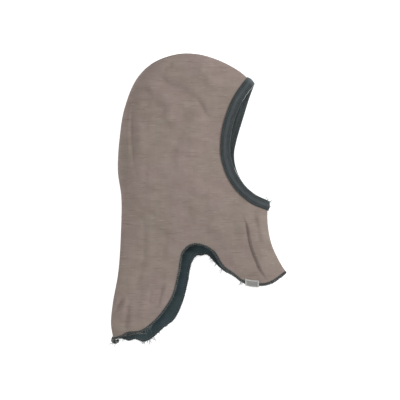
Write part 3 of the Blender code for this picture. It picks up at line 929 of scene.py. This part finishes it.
def woven_satin(name, ground, border, length, width):
    """Blank woven label: a satin ground inside a lighter selvedge."""
    n = Nodes(name)
    x = n.axis(0)
    y = n.axis(1)
    in_x = n.times(n.span(x, 1.5, 2.0), n.span(x, length - 2.0, length - 1.5, 1.0, 0.0))
    in_y = n.times(n.span(y, 0.9, 1.3), n.span(y, width - 1.6, width - 1.2, 1.0, 0.0))
    weave = n.times(n.wave(x, 2 * math.pi / WARP_PITCH), n.wave(y, 2 * math.pi / WEFT_PITCH))
    grain = n.noise((1.3, 0.5, 1.0), 3.0, 0.6)
    colour = n.mix(n.times(in_x, in_y), border, ground)
    colour = n.mix(n.span(grain, 0.35, 0.7, 0.0, 0.35), colour, shade(118, 118, 116))
    n.bump(n.plus(n.times(weave, 0.35), grain), 0.07)
    return n.finish(colour, n.span(grain, 0.3, 0.7, 0.55, 0.75), 0.15, border, 0.4, 0.35)


def make_materials(tip):
    return {
        "shell": heathered_jersey("taupe_jersey", (shade(124, 110, 103), shade(141, 128, 122),
                                                   shade(156, 145, 138)),
                                  ((1.03, 0.99, 1.00, 1), (0.99, 1.00, 0.96, 1)), 0.20),
        "lining": heathered_jersey("petrol_jersey", (shade(45, 57, 60), shade(56, 69, 73),
                                                     shade(70, 82, 86)),
                                   ((0.97, 1.02, 1.05, 1), (1.02, 1.02, 0.97, 1)), 0.12),
        "binding": ribbed_binding("slate_rib", (shade(48, 53, 54), shade(61, 68, 70),
                                                shade(98, 106, 108)), tip),
        "overlock": twisted_thread("charcoal_overlock", shade(44, 49, 50), shade(76, 79, 78)),
        "overlock_far": twisted_thread("petrol_overlock", shade(46, 57, 60), shade(70, 82, 85)),
        "loops": twisted_thread("grey_looper", shade(62, 67, 67), shade(140, 141, 137)),
        "needle": twisted_thread("pale_needle", shade(104, 106, 104), shade(156, 156, 152)),
        "edge_highlight": twisted_thread("pale_edge_highlight", shade(150, 156, 158), shade(205, 208, 210)),
        "thread": twisted_thread("slate_thread", shade(62, 70, 73), shade(98, 106, 108)),
        "fray": twisted_thread("grey_fray", shade(84, 92, 94), shade(150, 156, 158)),
        "label": woven_satin("woven_label", shade(138, 137, 135), shade(186, 185, 181),
                             LABEL_LENGTH, LABEL_TOP + LABEL_OVERHANG),
        "label_thread": twisted_thread("label_thread", shade(170, 170, 166), shade(205, 204, 200)),
    }


# ---- panels

WRONG_SIDE = 40.0       # shifts the texture of a panel's inner face


def make_panel(half, name, depth, inset, material, flat, triangles):
    """One layer of one half, as a sheet of fabric with both its faces."""
    outer = half.lift(flat, depth, inset)
    inner = half.lift(flat, depth + FABRIC, inset)
    vertices, faces = sheet_solid(outer, inner, triangles)
    coordinates = np.column_stack((np.tile(flat, (2, 1)), np.repeat((0.0, WRONG_SIDE), len(flat))))
    piece = add_mesh(f"{name}_jersey", vertices, faces, [material], coordinates)
    stand_in(piece, name)
    return piece


def make_panels(half, side, flat, triangles, materials):
    outside = FABRIC + LAYER_GAP
    shell = make_panel(half, f"{side}_shell", 0.0, 0.0, materials["shell"],
                       flat, triangles)
    lining = make_panel(half, f"{side}_lining", outside, "seam", materials["lining"],
                        flat, triangles)


# ---- the face binding

BINDING_STEP = 0.7
STITCH_PITCH = 2.8
STITCH_LENGTH = 2.0
STITCH_RADIUS = 0.25
LIP_MARGIN = 1.7        # from the binding's lip to its row of stitches
EDGE_HIGHLIGHT_THREADS = ((0.275, 0.355), (0.84, 0.985))    # pale threads on the binding's folded edge that paint a highlight there, as shares of the edge
FOLD_MARGIN = 2.3       # from the binding's rolled edge to the coverstitch row
LIP_WOBBLE = 0.35
INNER_EDGE = -0.15      # the wraps' inner walls stop this far outside the raw edges
JOIN_STITCHES = 22
JOIN_SWING = 1.1        # of the zigzag that closes the binding, to each side
JOIN_RADIUS = 0.28
EDGE_HIGHLIGHT_RADIUS = 0.22
EDGE_HIGHLIGHT_SWAY = 0.22


def binding_skin(reach, s=None):
    """Height of the rolled binding over the shell, across its width."""
    t = np.clip(reach / BINDING_WIDTH, 0, 1)
    roll = np.sin(np.pi * np.clip(t * 0.96 + 0.04, 0, 1)) ** 0.7
    skin = BINDING_GAP + BINDING_THICKNESS + BINDING_CROWN * roll
    if s is not None:
        beat = 0.5 + 0.5 * np.cos(2 * np.pi * s / STITCH_PITCH)
        lip = np.exp(-((reach - (BINDING_WIDTH - LIP_MARGIN)) / 0.8) ** 2)
        fold = np.exp(-((reach - FOLD_MARGIN) / 0.7) ** 2)
        skin = skin - lip * (0.28 + 0.30 * beat) - fold * (0.10 + 0.25 * beat)
    return skin


def make_binding(opening, materials):
    """The band of rib folded round the raw edges of shell and lining."""
    reaches = np.concatenate((np.linspace(BINDING_WIDTH, 0.6, 15), [0.2]))
    under = [BINDING_WIDTH, BINDING_WIDTH * 0.66, BINDING_WIDTH * 0.33, INNER_EDGE]
    profile = [("out", reach) for reach in reaches]
    profile += [("fold", angle) for angle in np.linspace(-75, 75, 7)]
    profile += [("in", reach) for reach in reaches[::-1]]
    profile += [("in_under", reach) for reach in under]
    profile += [("out_under", reach) for reach in under[::-1]]
    count = round(opening.length / BINDING_STEP)
    stations = np.arange(count) * opening.length / count
    wobble = LIP_WOBBLE * np.array([noise.noise((s / 19.0, 4.0, 0.0)) for s in stations])
    columns = []
    coordinates = []
    for side, value in profile:
        if side == "fold":
            skin = BINDING_GAP + BINDING_THICKNESS + BINDING_CROWN * 0.25
            turn = math.radians(value)
            across = -skin * 0.75 * math.cos(turn)
            depth = STACK / 2 + (STACK / 2 + skin) * math.sin(turn)
            columns.append(opening.place(stations, across, depth))
            relief = 0.15
        else:
            skin = binding_skin(np.full(count, value), stations)
            depth = {"out": -skin, "in": STACK + skin, "in_under": STACK + BINDING_GAP * 0.5,
                     "out_under": -BINDING_GAP * 0.5}[side]
            lip = wobble * smoothstep(np.full(count, max(value, 0.0)) / BINDING_WIDTH)
            columns.append(opening.place(stations, value + lip, depth))
            across = value if side.startswith("out") else -value
            relief = math.sin(math.pi * value / BINDING_WIDTH) ** 2
        # the third coordinate marks the band's crown, where its material paints a highlight
        coordinates.append(np.column_stack((stations, np.full(count, across), np.full(count, relief))))
    piece = add_mesh("face_binding_rib", *swept(columns), [materials["binding"]],
                     swept(coordinates)[0], angle=75)
    stand_in(piece, "face_binding")


def stitch_row(bundle, opening, reach, level, first, pitch=STITCH_PITCH, length=STITCH_LENGTH,
               radius=STITCH_RADIUS, narrow=False, slot=0):
    """Separate stitches that dip into the fabric at both ends. Level is their depth at rest."""
    bow = np.array((0.45, 0.1, -0.12, -0.12, 0.1, 0.45))
    taper = np.array((0.6, 0.95, 1.0, 1.0, 0.95, 0.6))
    sign = 1 if level <= STACK / 2 else -1
    count = int(opening.length / pitch)
    step = np.linspace(-0.5, 0.5, len(bow))
    s = first + (np.arange(count) * opening.length / count)[:, None] + step * length
    across = np.broadcast_to(reach, s.shape)
    if narrow:
        across = across * overlock_share(opening, s)
    depth = np.broadcast_to(level + sign * bow, s.shape)
    paths = opening.place(s.ravel(), across.ravel(), depth.ravel()).reshape(count, len(bow), 3)
    for path in paths:
        bundle.add(*tube(path, radius * taper), slot=slot)


def make_binding_threads(opening, materials):
    lip = BINDING_WIDTH - LIP_MARGIN
    for name, side in (("binding_needle_thread", "out"), ("binding_bobbin_thread", "in")):
        bundle = Bundle()
        for reach in (lip, FOLD_MARGIN):
            skin = float(binding_skin(np.array([reach]), np.array([STITCH_PITCH / 2]))[0])
            level = -skin - 0.1 if side == "out" else STACK + skin + 0.1
            stitch_row(bundle, opening, reach, level, STITCH_PITCH / 2)
        piece = bundle.make(f"{name}_rows", [materials["thread"]])
        stand_in(piece, name)


def make_binding_join(opening, materials):
    """The zigzag of thread that closes the binding at the chin, and pale threads on the binding's
    folded edge, a painted highlight of that edge.
    """
    bundle = Bundle()
    steps = np.linspace(0.4, BINDING_WIDTH - 1.0, JOIN_STITCHES)
    side = np.where(np.arange(len(steps)) % 2, JOIN_SWING, -JOIN_SWING)
    level = -binding_skin(steps) - 0.15
    bundle.add(*tube(opening.place(side, steps, level), JOIN_RADIUS))
    # painted highlight: pale threads laid along the top of the binding's folded edge, in two stretches
    for start, end in EDGE_HIGHLIGHT_THREADS:
        s = np.linspace(start, end, 40)
        taper = np.sin(np.pi * np.linspace(0.08, 0.92, len(s))) ** 0.5
        for strand in (0.0, 1.7):
            sway = EDGE_HIGHLIGHT_SWAY * np.sin(np.linspace(0, 23, len(s)) + strand)
            path = opening.place(s * opening.upper.length + strand, -1.1 + sway, -1.1 - 0.4 * sway)
            bundle.add(*tube(path, EDGE_HIGHLIGHT_RADIUS * taper, 5), slot=1)
    piece = bundle.make("binding_closing_thread", [materials["thread"], materials["edge_highlight"]])
    stand_in(piece, "binding_join_thread")


# ---- the overlocked hem

LOOP_PITCH = 2.4
TAIL_CHAIN = ((-97.0, -159.5), (-98.4, -162.5), (-98.8, -165.2), (-96.4, -166.4), (-93.6, -165.9),
              (-93.4, -163.4))
TAIL_TURNS = 2.5
TAIL_RADIUS = 1.7
TAIL_HEIGHT = 2.6
TAIL_THICKNESS = 0.95   # radius of one of its threads where it is thickest
LOOSE_CHAIN = ((-87.5, -160.4), (-82.0, -158.9), (-76.0, -157.0), (-69.0, -156.4), (-61.0, -156.8))
LOOSE_SPREAD = 0.85     # between its three threads
LOOSE_SWAY = 0.3
LOOSE_RADIUS = 0.45
OVERLOCK_NARROW = 0.42  # widths of the overlock, as shares of OVERLOCK_WIDTH
OVERLOCK_BIB = 0.68
BIB_START = 0.60        # share of the hem, from the back flap, where the bib begins
BIB_RUN = 0.06          # share of it over which the overlock widens there
BAND_STEP = 1.2
BAND_LIP = 0.35         # the band's profile narrows with the overlock beyond this reach
LOOP_RADIUS = 0.36
LOOP_SHIFT = 0.18       # uneven places of the loops along the hem and across it
LOOP_SPREAD = 0.16
HEM_STITCH_LENGTH = 1.6
HEM_STITCH_RADIUS = 0.24


def overlock_share(opening, s):
    """How wide the overlock lies: wider on the bib, rolled narrow along the back flap and arch."""
    s = np.asarray(s, float) % opening.length
    on_upper = s / opening.upper.length
    on_lower = (opening.length - s) / opening.lower.length
    way = np.where(s <= opening.upper.length, on_upper, on_lower)
    return OVERLOCK_NARROW + (OVERLOCK_BIB - OVERLOCK_NARROW) * smoothstep((way - BIB_START) / BIB_RUN)


def far_faces(opening, s, count):
    """Slot 1 for the faces that lie on the lower half's hem, and slot 0 for the others."""
    below = (np.asarray(s) % opening.length > opening.upper.length).astype(int)
    return np.resize(np.repeat(below, max(1, count // len(below))), count)


def overlock_band(opening, bundle):
    """The pressed raw edges of shell and lining under the thread."""
    count = round(opening.length / BAND_STEP)
    stations = np.arange(count) * opening.length / count
    skin = OVERLOCK_GAP + OVERLOCK_THICKNESS * 0.5
    profile = [(OVERLOCK_WIDTH, -0.08), (OVERLOCK_WIDTH - 0.5, -skin), (1.6, -skin), (0.4, -skin),
               (-0.35, -0.1), (-0.6, STACK / 2), (-0.35, STACK + 0.1), (0.4, STACK + skin),
               (1.6, STACK + skin), (OVERLOCK_WIDTH - 0.5, STACK + skin),
               (OVERLOCK_WIDTH, STACK + 0.08), (INNER_EDGE, STACK + 0.06), (INNER_EDGE, -0.06)]
    columns = []
    coordinates = []
    for index, (reach, depth) in enumerate(profile):
        ripple = 0.25 * np.array([noise.noise((s / 7.0, index * 0.2, 2.0)) for s in stations])
        free = reach > BAND_LIP
        at = reach * overlock_share(opening, stations) if free else np.full(count, reach)
        columns.append(opening.place(stations, at + ripple * free, depth))
        coordinates.append(np.column_stack((stations, np.full(count, reach), np.full(count, depth))))
    vertices, faces = swept(columns)
    bundle.add(vertices, faces, swept(coordinates)[0], far_faces(opening, stations, len(faces)))


def overlock_loops(opening, bundle):
    """Looper threads round the edge: a zigzag over each face, and a needle line inside it."""
    count = round(opening.length / LOOP_PITCH)
    skin = OVERLOCK_GAP + OVERLOCK_THICKNESS
    turn = [(0.00, OVERLOCK_WIDTH - 0.2, -skin), (0.16, 1.9, -skin - 0.15), (0.30, 0.5, -skin - 0.1),
            (0.40, -0.75, 0.2), (0.48, -0.95, STACK / 2), (0.56, -0.75, STACK - 0.2),
            (0.66, 0.5, STACK + skin + 0.1), (0.80, 1.9, STACK + skin + 0.15),
            (0.94, OVERLOCK_WIDTH - 0.2, STACK + skin)]
    back = [(1.02, 2.0, STACK + skin), (1.06, 0.4, STACK + skin - 0.1), (1.08, -0.75, STACK / 2 + 0.6),
            (1.08, -0.75, STACK / 2 - 0.6), (1.06, 0.4, -skin + 0.1), (1.03, 2.0, -skin)]
    steps = np.array(turn + back)
    jitter = np.random.default_rng(4).normal(0, 1, (count, 3))
    pitch = opening.length / count
    s = ((np.arange(count)[:, None] + steps[:, 0]) * pitch + LOOP_SHIFT * jitter[:, :1]).ravel()
    reach = (steps[:, 1] + LOOP_SPREAD * jitter[:, 1:2]).ravel()
    reach = np.where(reach > 0, reach * overlock_share(opening, s), reach)
    path = opening.place(s, reach, np.tile(steps[:, 2], count))
    radius = LOOP_RADIUS * (1 + 0.15 * np.repeat(jitter[:, 2], len(steps)).clip(-1, 1))
    radius *= overlock_share(opening, s) ** 0.5
    vertices, faces = tube(path, radius, 5, closed=True)
    bundle.add(vertices, faces, slot=far_faces(opening, s, len(faces)) + 2)


def make_hem(opening, materials):
    bundle = Bundle()
    overlock_band(opening, bundle)
    overlock_loops(opening, bundle)
    for level in (-0.35, STACK + 0.35):
        stitch_row(bundle, opening, OVERLOCK_WIDTH + 0.1, level, 0.4, LOOP_PITCH,
                   HEM_STITCH_LENGTH, HEM_STITCH_RADIUS, narrow=True, slot=4)
    tail_chain(bundle)
    loose_chain(bundle, opening.lower.half)
    slots = ("overlock", "overlock_far", "loops", "overlock_far", "needle")
    piece = bundle.make("hem_overlock_thread", [materials[name] for name in slots])
    stand_in(piece, "hem_overlock")


def tail_chain(bundle):
    """The end of the overlock's chain of thread, curled up beside the back flap's corner."""
    path = smooth_curve(TAIL_CHAIN, 0.7)
    count = len(path)
    turn = np.linspace(0, 2 * math.pi * TAIL_TURNS, count)
    normals = left_normals(path)
    swell = TAIL_RADIUS * np.sin(np.pi * np.linspace(0.12, 0.95, count)) ** 0.5
    for strand, slot in enumerate((0, 2, 4, 0)):
        angle = turn + strand * math.pi / 2
        out = normals * (swell * np.cos(angle))[:, None]
        height = TAIL_HEIGHT + swell * np.sin(angle)
        centre = np.column_stack((path + SHIFT + out, height))
        bundle.add(*tube(centre, TAIL_THICKNESS * swell / TAIL_RADIUS, 7), slot=slot)


def loose_chain(bundle, lower):
    """A loose run of looper thread that lies on the lower lining, just inside the back flap's hem."""
    path = smooth_curve(LOOSE_CHAIN, 0.8)
    normals = left_normals(path)
    along = np.linspace(0, 1, len(path))
    for strand, slot in ((-LOOSE_SPREAD, 2), (0.0, 4), (LOOSE_SPREAD, 2)):
        offset = strand * np.sin(np.pi * np.clip(along, 0.06, 0.94)) ** 0.4
        offset = offset + LOOSE_SWAY * np.sin(26 * along + 2.4 * strand)
        points = lower.lift(path + normals * offset[:, None], STACK + 0.5)
        radius = LOOSE_RADIUS * np.sin(np.pi * np.clip(along, 0.05, 0.95)) ** 0.3
        bundle.add(*tube(points, radius, 5), slot=slot)


def wisp(bundle, root, tip, bend, radius):
    """One loose fibre: a thin tapering curve from its root to its tip."""
    root, tip = np.array(root, float), np.array(tip, float)
    t = np.linspace(0, 1, 9)[:, None]
    sideways = np.array((-(tip - root)[1], (tip - root)[0], 0.0))
    path = root * (1 - t) + tip * t + sideways * bend * np.sin(np.pi * t ** 1.3)
    bundle.add(*tube(path, radius * np.linspace(1.0, 0.35, 9), 5))


# Loose fibres at the hem and the trims: (root, tip, height over the table)
FRAY = (
    ((-98.5, -168), (-103.6, -171.5), 1.5), ((-96, -168.5), (-98.0, -173.0), 1.2),
    ((-63, -165.6), (-62.2, -170.4), 1.4), ((-64.5, -165.4), (-66.6, -169.6), 1.6),
    ((-57, -165.0), (-54.4, -171.0), 1.5), ((-59, -165.2), (-58.8, -169.6), 1.7),
    ((-54, -162.6), (-49.8, -165.6), 1.4), ((-61, -165.6), (-63.6, -168.8), 1.3),
    ((-56, -163.6), (-55.0, -173.0), 1.4), ((-52, -160.4), (-46.0, -162.6), 1.5),
    ((-46, -154.6), (-42.6, -158.4), 1.5), ((-38, -147.4), (-34.0, -149.8), 1.5),
    ((-86, -161.6), (-88.0, -166.6), 1.4), ((50, -95.5), (47.8, -101.0), 3.0),
    ((52, -96.5), (49.0, -99.6), 3.0), ((83, -98), (84.4, -102.0), 3.0),
    ((85, -96.5), (87.4, -99.6), 3.0), ((18, -72), (13.6, -75.4), 3.0),
    ((21, -75), (17.6, -79.0), 3.0), ((16, -69), (12.6, -71.4), 3.0),
    ((28, -82), (25.4, -86.0), 3.0), ((82.0, -3.4), (85.6, -1.4), 9.0),
    ((82.0, -5.4), (86.0, -5.6), 9.0), ((80.6, -1.6), (83.4, 1.6), 9.0),
    ((82.0, -8), (85.0, -9.6), 8.0), ((78.4, -0.4), (80.2, 2.8), 9.0),
    ((-59.0, -148.0), (-55.4, -152.0), 15.5), ((-60.5, -149.2), (-58.4, -153.6), 15.5),
    ((-57.0, -146.5), (-53.0, -149.6), 15.5), ((-62.0, -150.2), (-61.4, -154.0), 15.0),
)
FRAY_STRANDS = 3
FRAY_RADIUS = 0.22
FRAY_SPREAD = 1.3       # how far the tips of one tuft's strands lie apart
FUZZ_COUNT = 240
FUZZ_RADIUS = 0.12


def make_fray(hem, materials):
    """Loose fibres and fuzz of the knit along the hem."""
    bundle = Bundle()
    random = np.random.default_rng(11)
    for root, tip, height in FRAY:
        bend = random.uniform(-0.25, 0.25)
        fall = random.uniform(0.2, 1.2)
        for strand in range(FRAY_STRANDS):
            spread = random.normal(0, FRAY_SPREAD, 2) * (strand > 0)
            own_bend = bend + random.normal(0, 0.16)
            wisp(bundle, (*(np.array(root) + SHIFT), height),
                 (*(np.array(tip) + spread + SHIFT), height - fall), own_bend, FRAY_RADIUS)
    s = random.uniform(0, hem.length, FUZZ_COUNT)
    root = hem.place(s, 0.4, STACK / 2 + random.uniform(-1, 1, FUZZ_COUNT))
    tip = hem.place(s + random.normal(0, 0.9, FUZZ_COUNT), -random.uniform(1.0, 2.3, FUZZ_COUNT),
                    STACK / 2 + random.uniform(-1.2, 1.2, FUZZ_COUNT))
    for a, b in zip(root, tip):
        wisp(bundle, a, b, random.uniform(-0.3, 0.3), FUZZ_RADIUS)
    piece = bundle.make("hem_fray_fibres", [materials["fray"]])
    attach(piece, "root")


# ---- seams

RIDGE_CLEAR = 32.0      # distance from a free edge where the overlocked allowances end
RIDGE_STEP = 2.5
RIDGE_LOOP = 8          # points of one turn of the thread that binds them
RIDGE_RADIUS = 0.2
# Section of one allowance: (reach past the inset, height over the seam)
RIDGE_SECTION = ((-0.3, 0.08), (2.9, 0.08), (3.1, 0.45), (2.9, 0.8), (-0.3, 0.8))


def along_seam(seam, s):
    """Pattern points at distances along a seam, and the directions from it into the hat."""
    return at_length(seam, s) + SHIFT, read_along(seam, left_normals(seam), s)


def make_seam_overlock(name, seam, inset, materials):
    """Two seam allowances and the thread that binds them, hidden inside the seam."""
    run = arc_lengths(seam)[-1] - 2 * RIDGE_CLEAR
    count = max(6, round(run / RIDGE_STEP))
    points, normals = along_seam(seam, np.linspace(RIDGE_CLEAR, RIDGE_CLEAR + run, count))
    bundle = Bundle()
    for side in (-1, 1):
        columns = [np.column_stack((points + normals * (inset + reach),
                                    np.full(count, SEAM_HEIGHT + side * height)))
                   for reach, height in RIDGE_SECTION]
        bundle.add(*swept(columns, closed=False))
    turn = np.arange(round(run / LOOP_PITCH) * RIDGE_LOOP) / RIDGE_LOOP
    points, normals = along_seam(seam, RIDGE_CLEAR + turn * LOOP_PITCH)
    reach = inset + 1.5 + 1.9 * np.cos(turn * 2 * math.pi)
    height = SEAM_HEIGHT + 1.05 * np.sin(turn * 2 * math.pi)
    path = np.column_stack((points + normals * reach[:, None], height))
    bundle.add(*tube(path, RIDGE_RADIUS, 5))
    piece = bundle.make(f"{name}_bound", [materials["overlock"]])
    stand_in(piece, name)


# ---- the label

LABEL_START = 54.5
LABEL_LENGTH = 16.0
LABEL_TOP = 5.6
LABEL_OVERHANG = 2.4
LABEL_THICKNESS = 0.42
LABEL_STITCHES = 5      # at each end
LABEL_STITCH_MARGIN = 1.4
LABEL_STITCH_PITCH = 1.5
LABEL_STITCH_RADIUS = 0.2
LABEL_FOLD = (0.45, 1.9)        # rise over its folded ends, and how far they reach
LABEL_CURL = (0.35, 3.0)        # rise of its lower edge, and how far that reaches
LABEL_DIP = (0.22, 0.35)        # depth and half width of the dip along its stitches


def hem_height(half, x):
    """The bib hem's level at a place along it."""
    bib = half.hem[half.hem[:, 0] > 0]
    bib = bib[np.argsort(bib[:, 0])]
    return np.interp(x, bib[:, 0], bib[:, 1])


def label_points(half, along, across, rise):
    """Places on the label: distances along it, up from its lower edge, and over the hem."""
    x = LABEL_START + along
    flat = np.column_stack((x, hem_height(half, x) - LABEL_OVERHANG + across))
    return half.lift(flat, -(1.15 + rise))


def make_label(half, materials):
    """A blank woven label folded under at both ends, held by a row of stitches at each."""
    columns = np.linspace(0, LABEL_LENGTH, 33)
    rows = np.linspace(0, LABEL_TOP + LABEL_OVERHANG, 15)
    x, y = np.meshgrid(columns, rows)
    x, y = x.ravel(), y.ravel()
    ends = np.minimum(x, LABEL_LENGTH - x)
    fold = LABEL_FOLD[0] * smoothstep(1 - (ends - LABEL_FOLD[1]) / 0.5)
    dip = LABEL_DIP[0] * np.exp(-((ends - LABEL_STITCH_MARGIN) / LABEL_DIP[1]) ** 2)
    curl = LABEL_CURL[0] * smoothstep(1 - y / LABEL_CURL[1])
    rise = fold - dip + curl
    flat_xy = np.column_stack((x, y))
    width = len(columns)
    triangles = []
    for row in range(len(rows) - 1):
        for column in range(width - 1):
            a = row * width + column
            triangles += [(a, a + 1, a + width), (a + 1, a + width + 1, a + width)]
    outer = label_points(half, x, y, rise + LABEL_THICKNESS)
    inner = label_points(half, x, y, 0.0)
    vertices, faces = sheet_solid(outer, inner, np.array(triangles))
    coordinates = np.column_stack((np.tile(flat_xy, (2, 1)), np.zeros(2 * len(flat_xy))))
    piece = add_mesh("woven_label_blank", vertices, faces, [materials["label"]], coordinates, angle=70)
    stand_in(piece, "woven_label")
    bow = np.array((-0.25, 0.05, 0.16, 0.16, 0.05, -0.25))
    span = np.linspace(0.15, 1.25, len(bow))
    for name, place in (("label_stitch_back", LABEL_STITCH_MARGIN),
                        ("label_stitch_front", LABEL_LENGTH - LABEL_STITCH_MARGIN)):
        bundle = Bundle()
        for i in range(LABEL_STITCHES):
            at = 0.5 + LABEL_STITCH_PITCH * i
            path = label_points(half, np.full(len(bow), place), at + span, 0.75 + bow)
            bundle.add(*tube(path, LABEL_STITCH_RADIUS))
        stitch = bundle.make(f"{name}_row", [materials["label_thread"]])
        stand_in(stitch, name)


# ---- stage

VIEW_CENTRE = (1.4, -3.15)
VIEW_WIDTH = 465.6
CAMERA_HEIGHT = 3000.0
FLOOR_SIZE = 40.0
FLOOR_GLOW = 0.42       # the table is a light table, which washes out the shadows
FLOOR_DROP = 0.0004     # metres that it lies under the hat
SENSOR = 36.0
WORLD_GLOW = 0.60
WHITE = (1.0, 1.0, 1.0, 1.0)
# Soft lights: name, place in metres, size and power
LIGHTS = (
    ("key", (2.2, 0.85, 1.5), 0.9, 58.0),
    ("fill", (-1.2, -0.4, 2.4), 2.4, 35.0),
)


def make_stage():
    camera = bpy.data.cameras.new("camera")
    camera.type = "PERSP"
    camera.sensor_width = SENSOR
    camera.lens = SENSOR * CAMERA_HEIGHT / VIEW_WIDTH
    holder = add_object("camera", camera)
    holder.location = np.array((*VIEW_CENTRE, CAMERA_HEIGHT)) * METRES
    bpy.context.scene.camera = holder

    n = Nodes("floor_paper")
    grain = n.noise((0.02, 0.02, 0.02), 2.0)
    colour = n.mix(n.span(grain, 0.3, 0.7, 0.0, 1.0), (0.90, 0.90, 0.90, 1), (0.92, 0.92, 0.92, 1))
    size = FLOOR_SIZE
    mesh = bpy.data.meshes.new("floor")
    mesh.from_pydata([(-size, -size, 0), (size, -size, 0), (size, size, 0), (-size, size, 0)], [],
                     [(0, 1, 2, 3)])
    mesh.materials.append(n.finish(colour, 0.9))
    n.shader.inputs["Emission Color"].default_value = WHITE
    n.shader.inputs["Emission Strength"].default_value = FLOOR_GLOW
    floor = add_object("floor", mesh)
    floor.location.z = -FLOOR_DROP

    world = bpy.data.worlds.new("studio")
    world.use_nodes = True
    background = world.node_tree.nodes["Background"]
    background.inputs[0].default_value = WHITE
    background.inputs[1].default_value = WORLD_GLOW
    bpy.context.scene.world = world
    bpy.context.scene.view_settings.view_transform = "Standard"
    for name, place, size, power in LIGHTS:
        light = bpy.data.lights.new(name, "AREA")
        light.size = size
        light.energy = power
        lamp = add_object(name, light)
        lamp.location = place
        lamp.rotation_mode = "QUATERNION"
        lamp.rotation_quaternion = Vector(place).to_track_quat("Z", "Y")


# ---- the whole hat

def build():
    make_stage()
    upper = Half(True, UPPER_FACE, UPPER_HEM)
    lower = Half(False, LOWER_FACE, LOWER_HEM)
    materials = make_materials(arc_lengths(upper.face)[-1])
    for half, side in ((upper, "right"), (lower, "left")):
        flat, triangles = half.mesh_pattern()
        if half.upper:
            settle(half, flat, triangles)
        if half.upper:
            half.relief.shape(upper_folds)
        make_panels(half, side, flat, triangles, materials)
    face = Opening(*(Edge(half, half.face, half.front[::-1], half.crown) for half in (upper, lower)))
    hem = Opening(*(Edge(half, half.hem, half.crown[::-1], half.front) for half in (upper, lower)))
    make_binding(face, materials)
    make_binding_threads(face, materials)
    make_binding_join(face, materials)
    make_hem(hem, materials)
    make_fray(hem, materials)
    for layer, inset in (("shell", 2.6), ("lining", 6.0)):
        make_seam_overlock(f"{layer}_crown_seam_overlock", upper.crown, inset, materials)
        make_seam_overlock(f"{layer}_bib_seam_overlock", upper.front, inset, materials)
    make_label(upper, materials)


build()
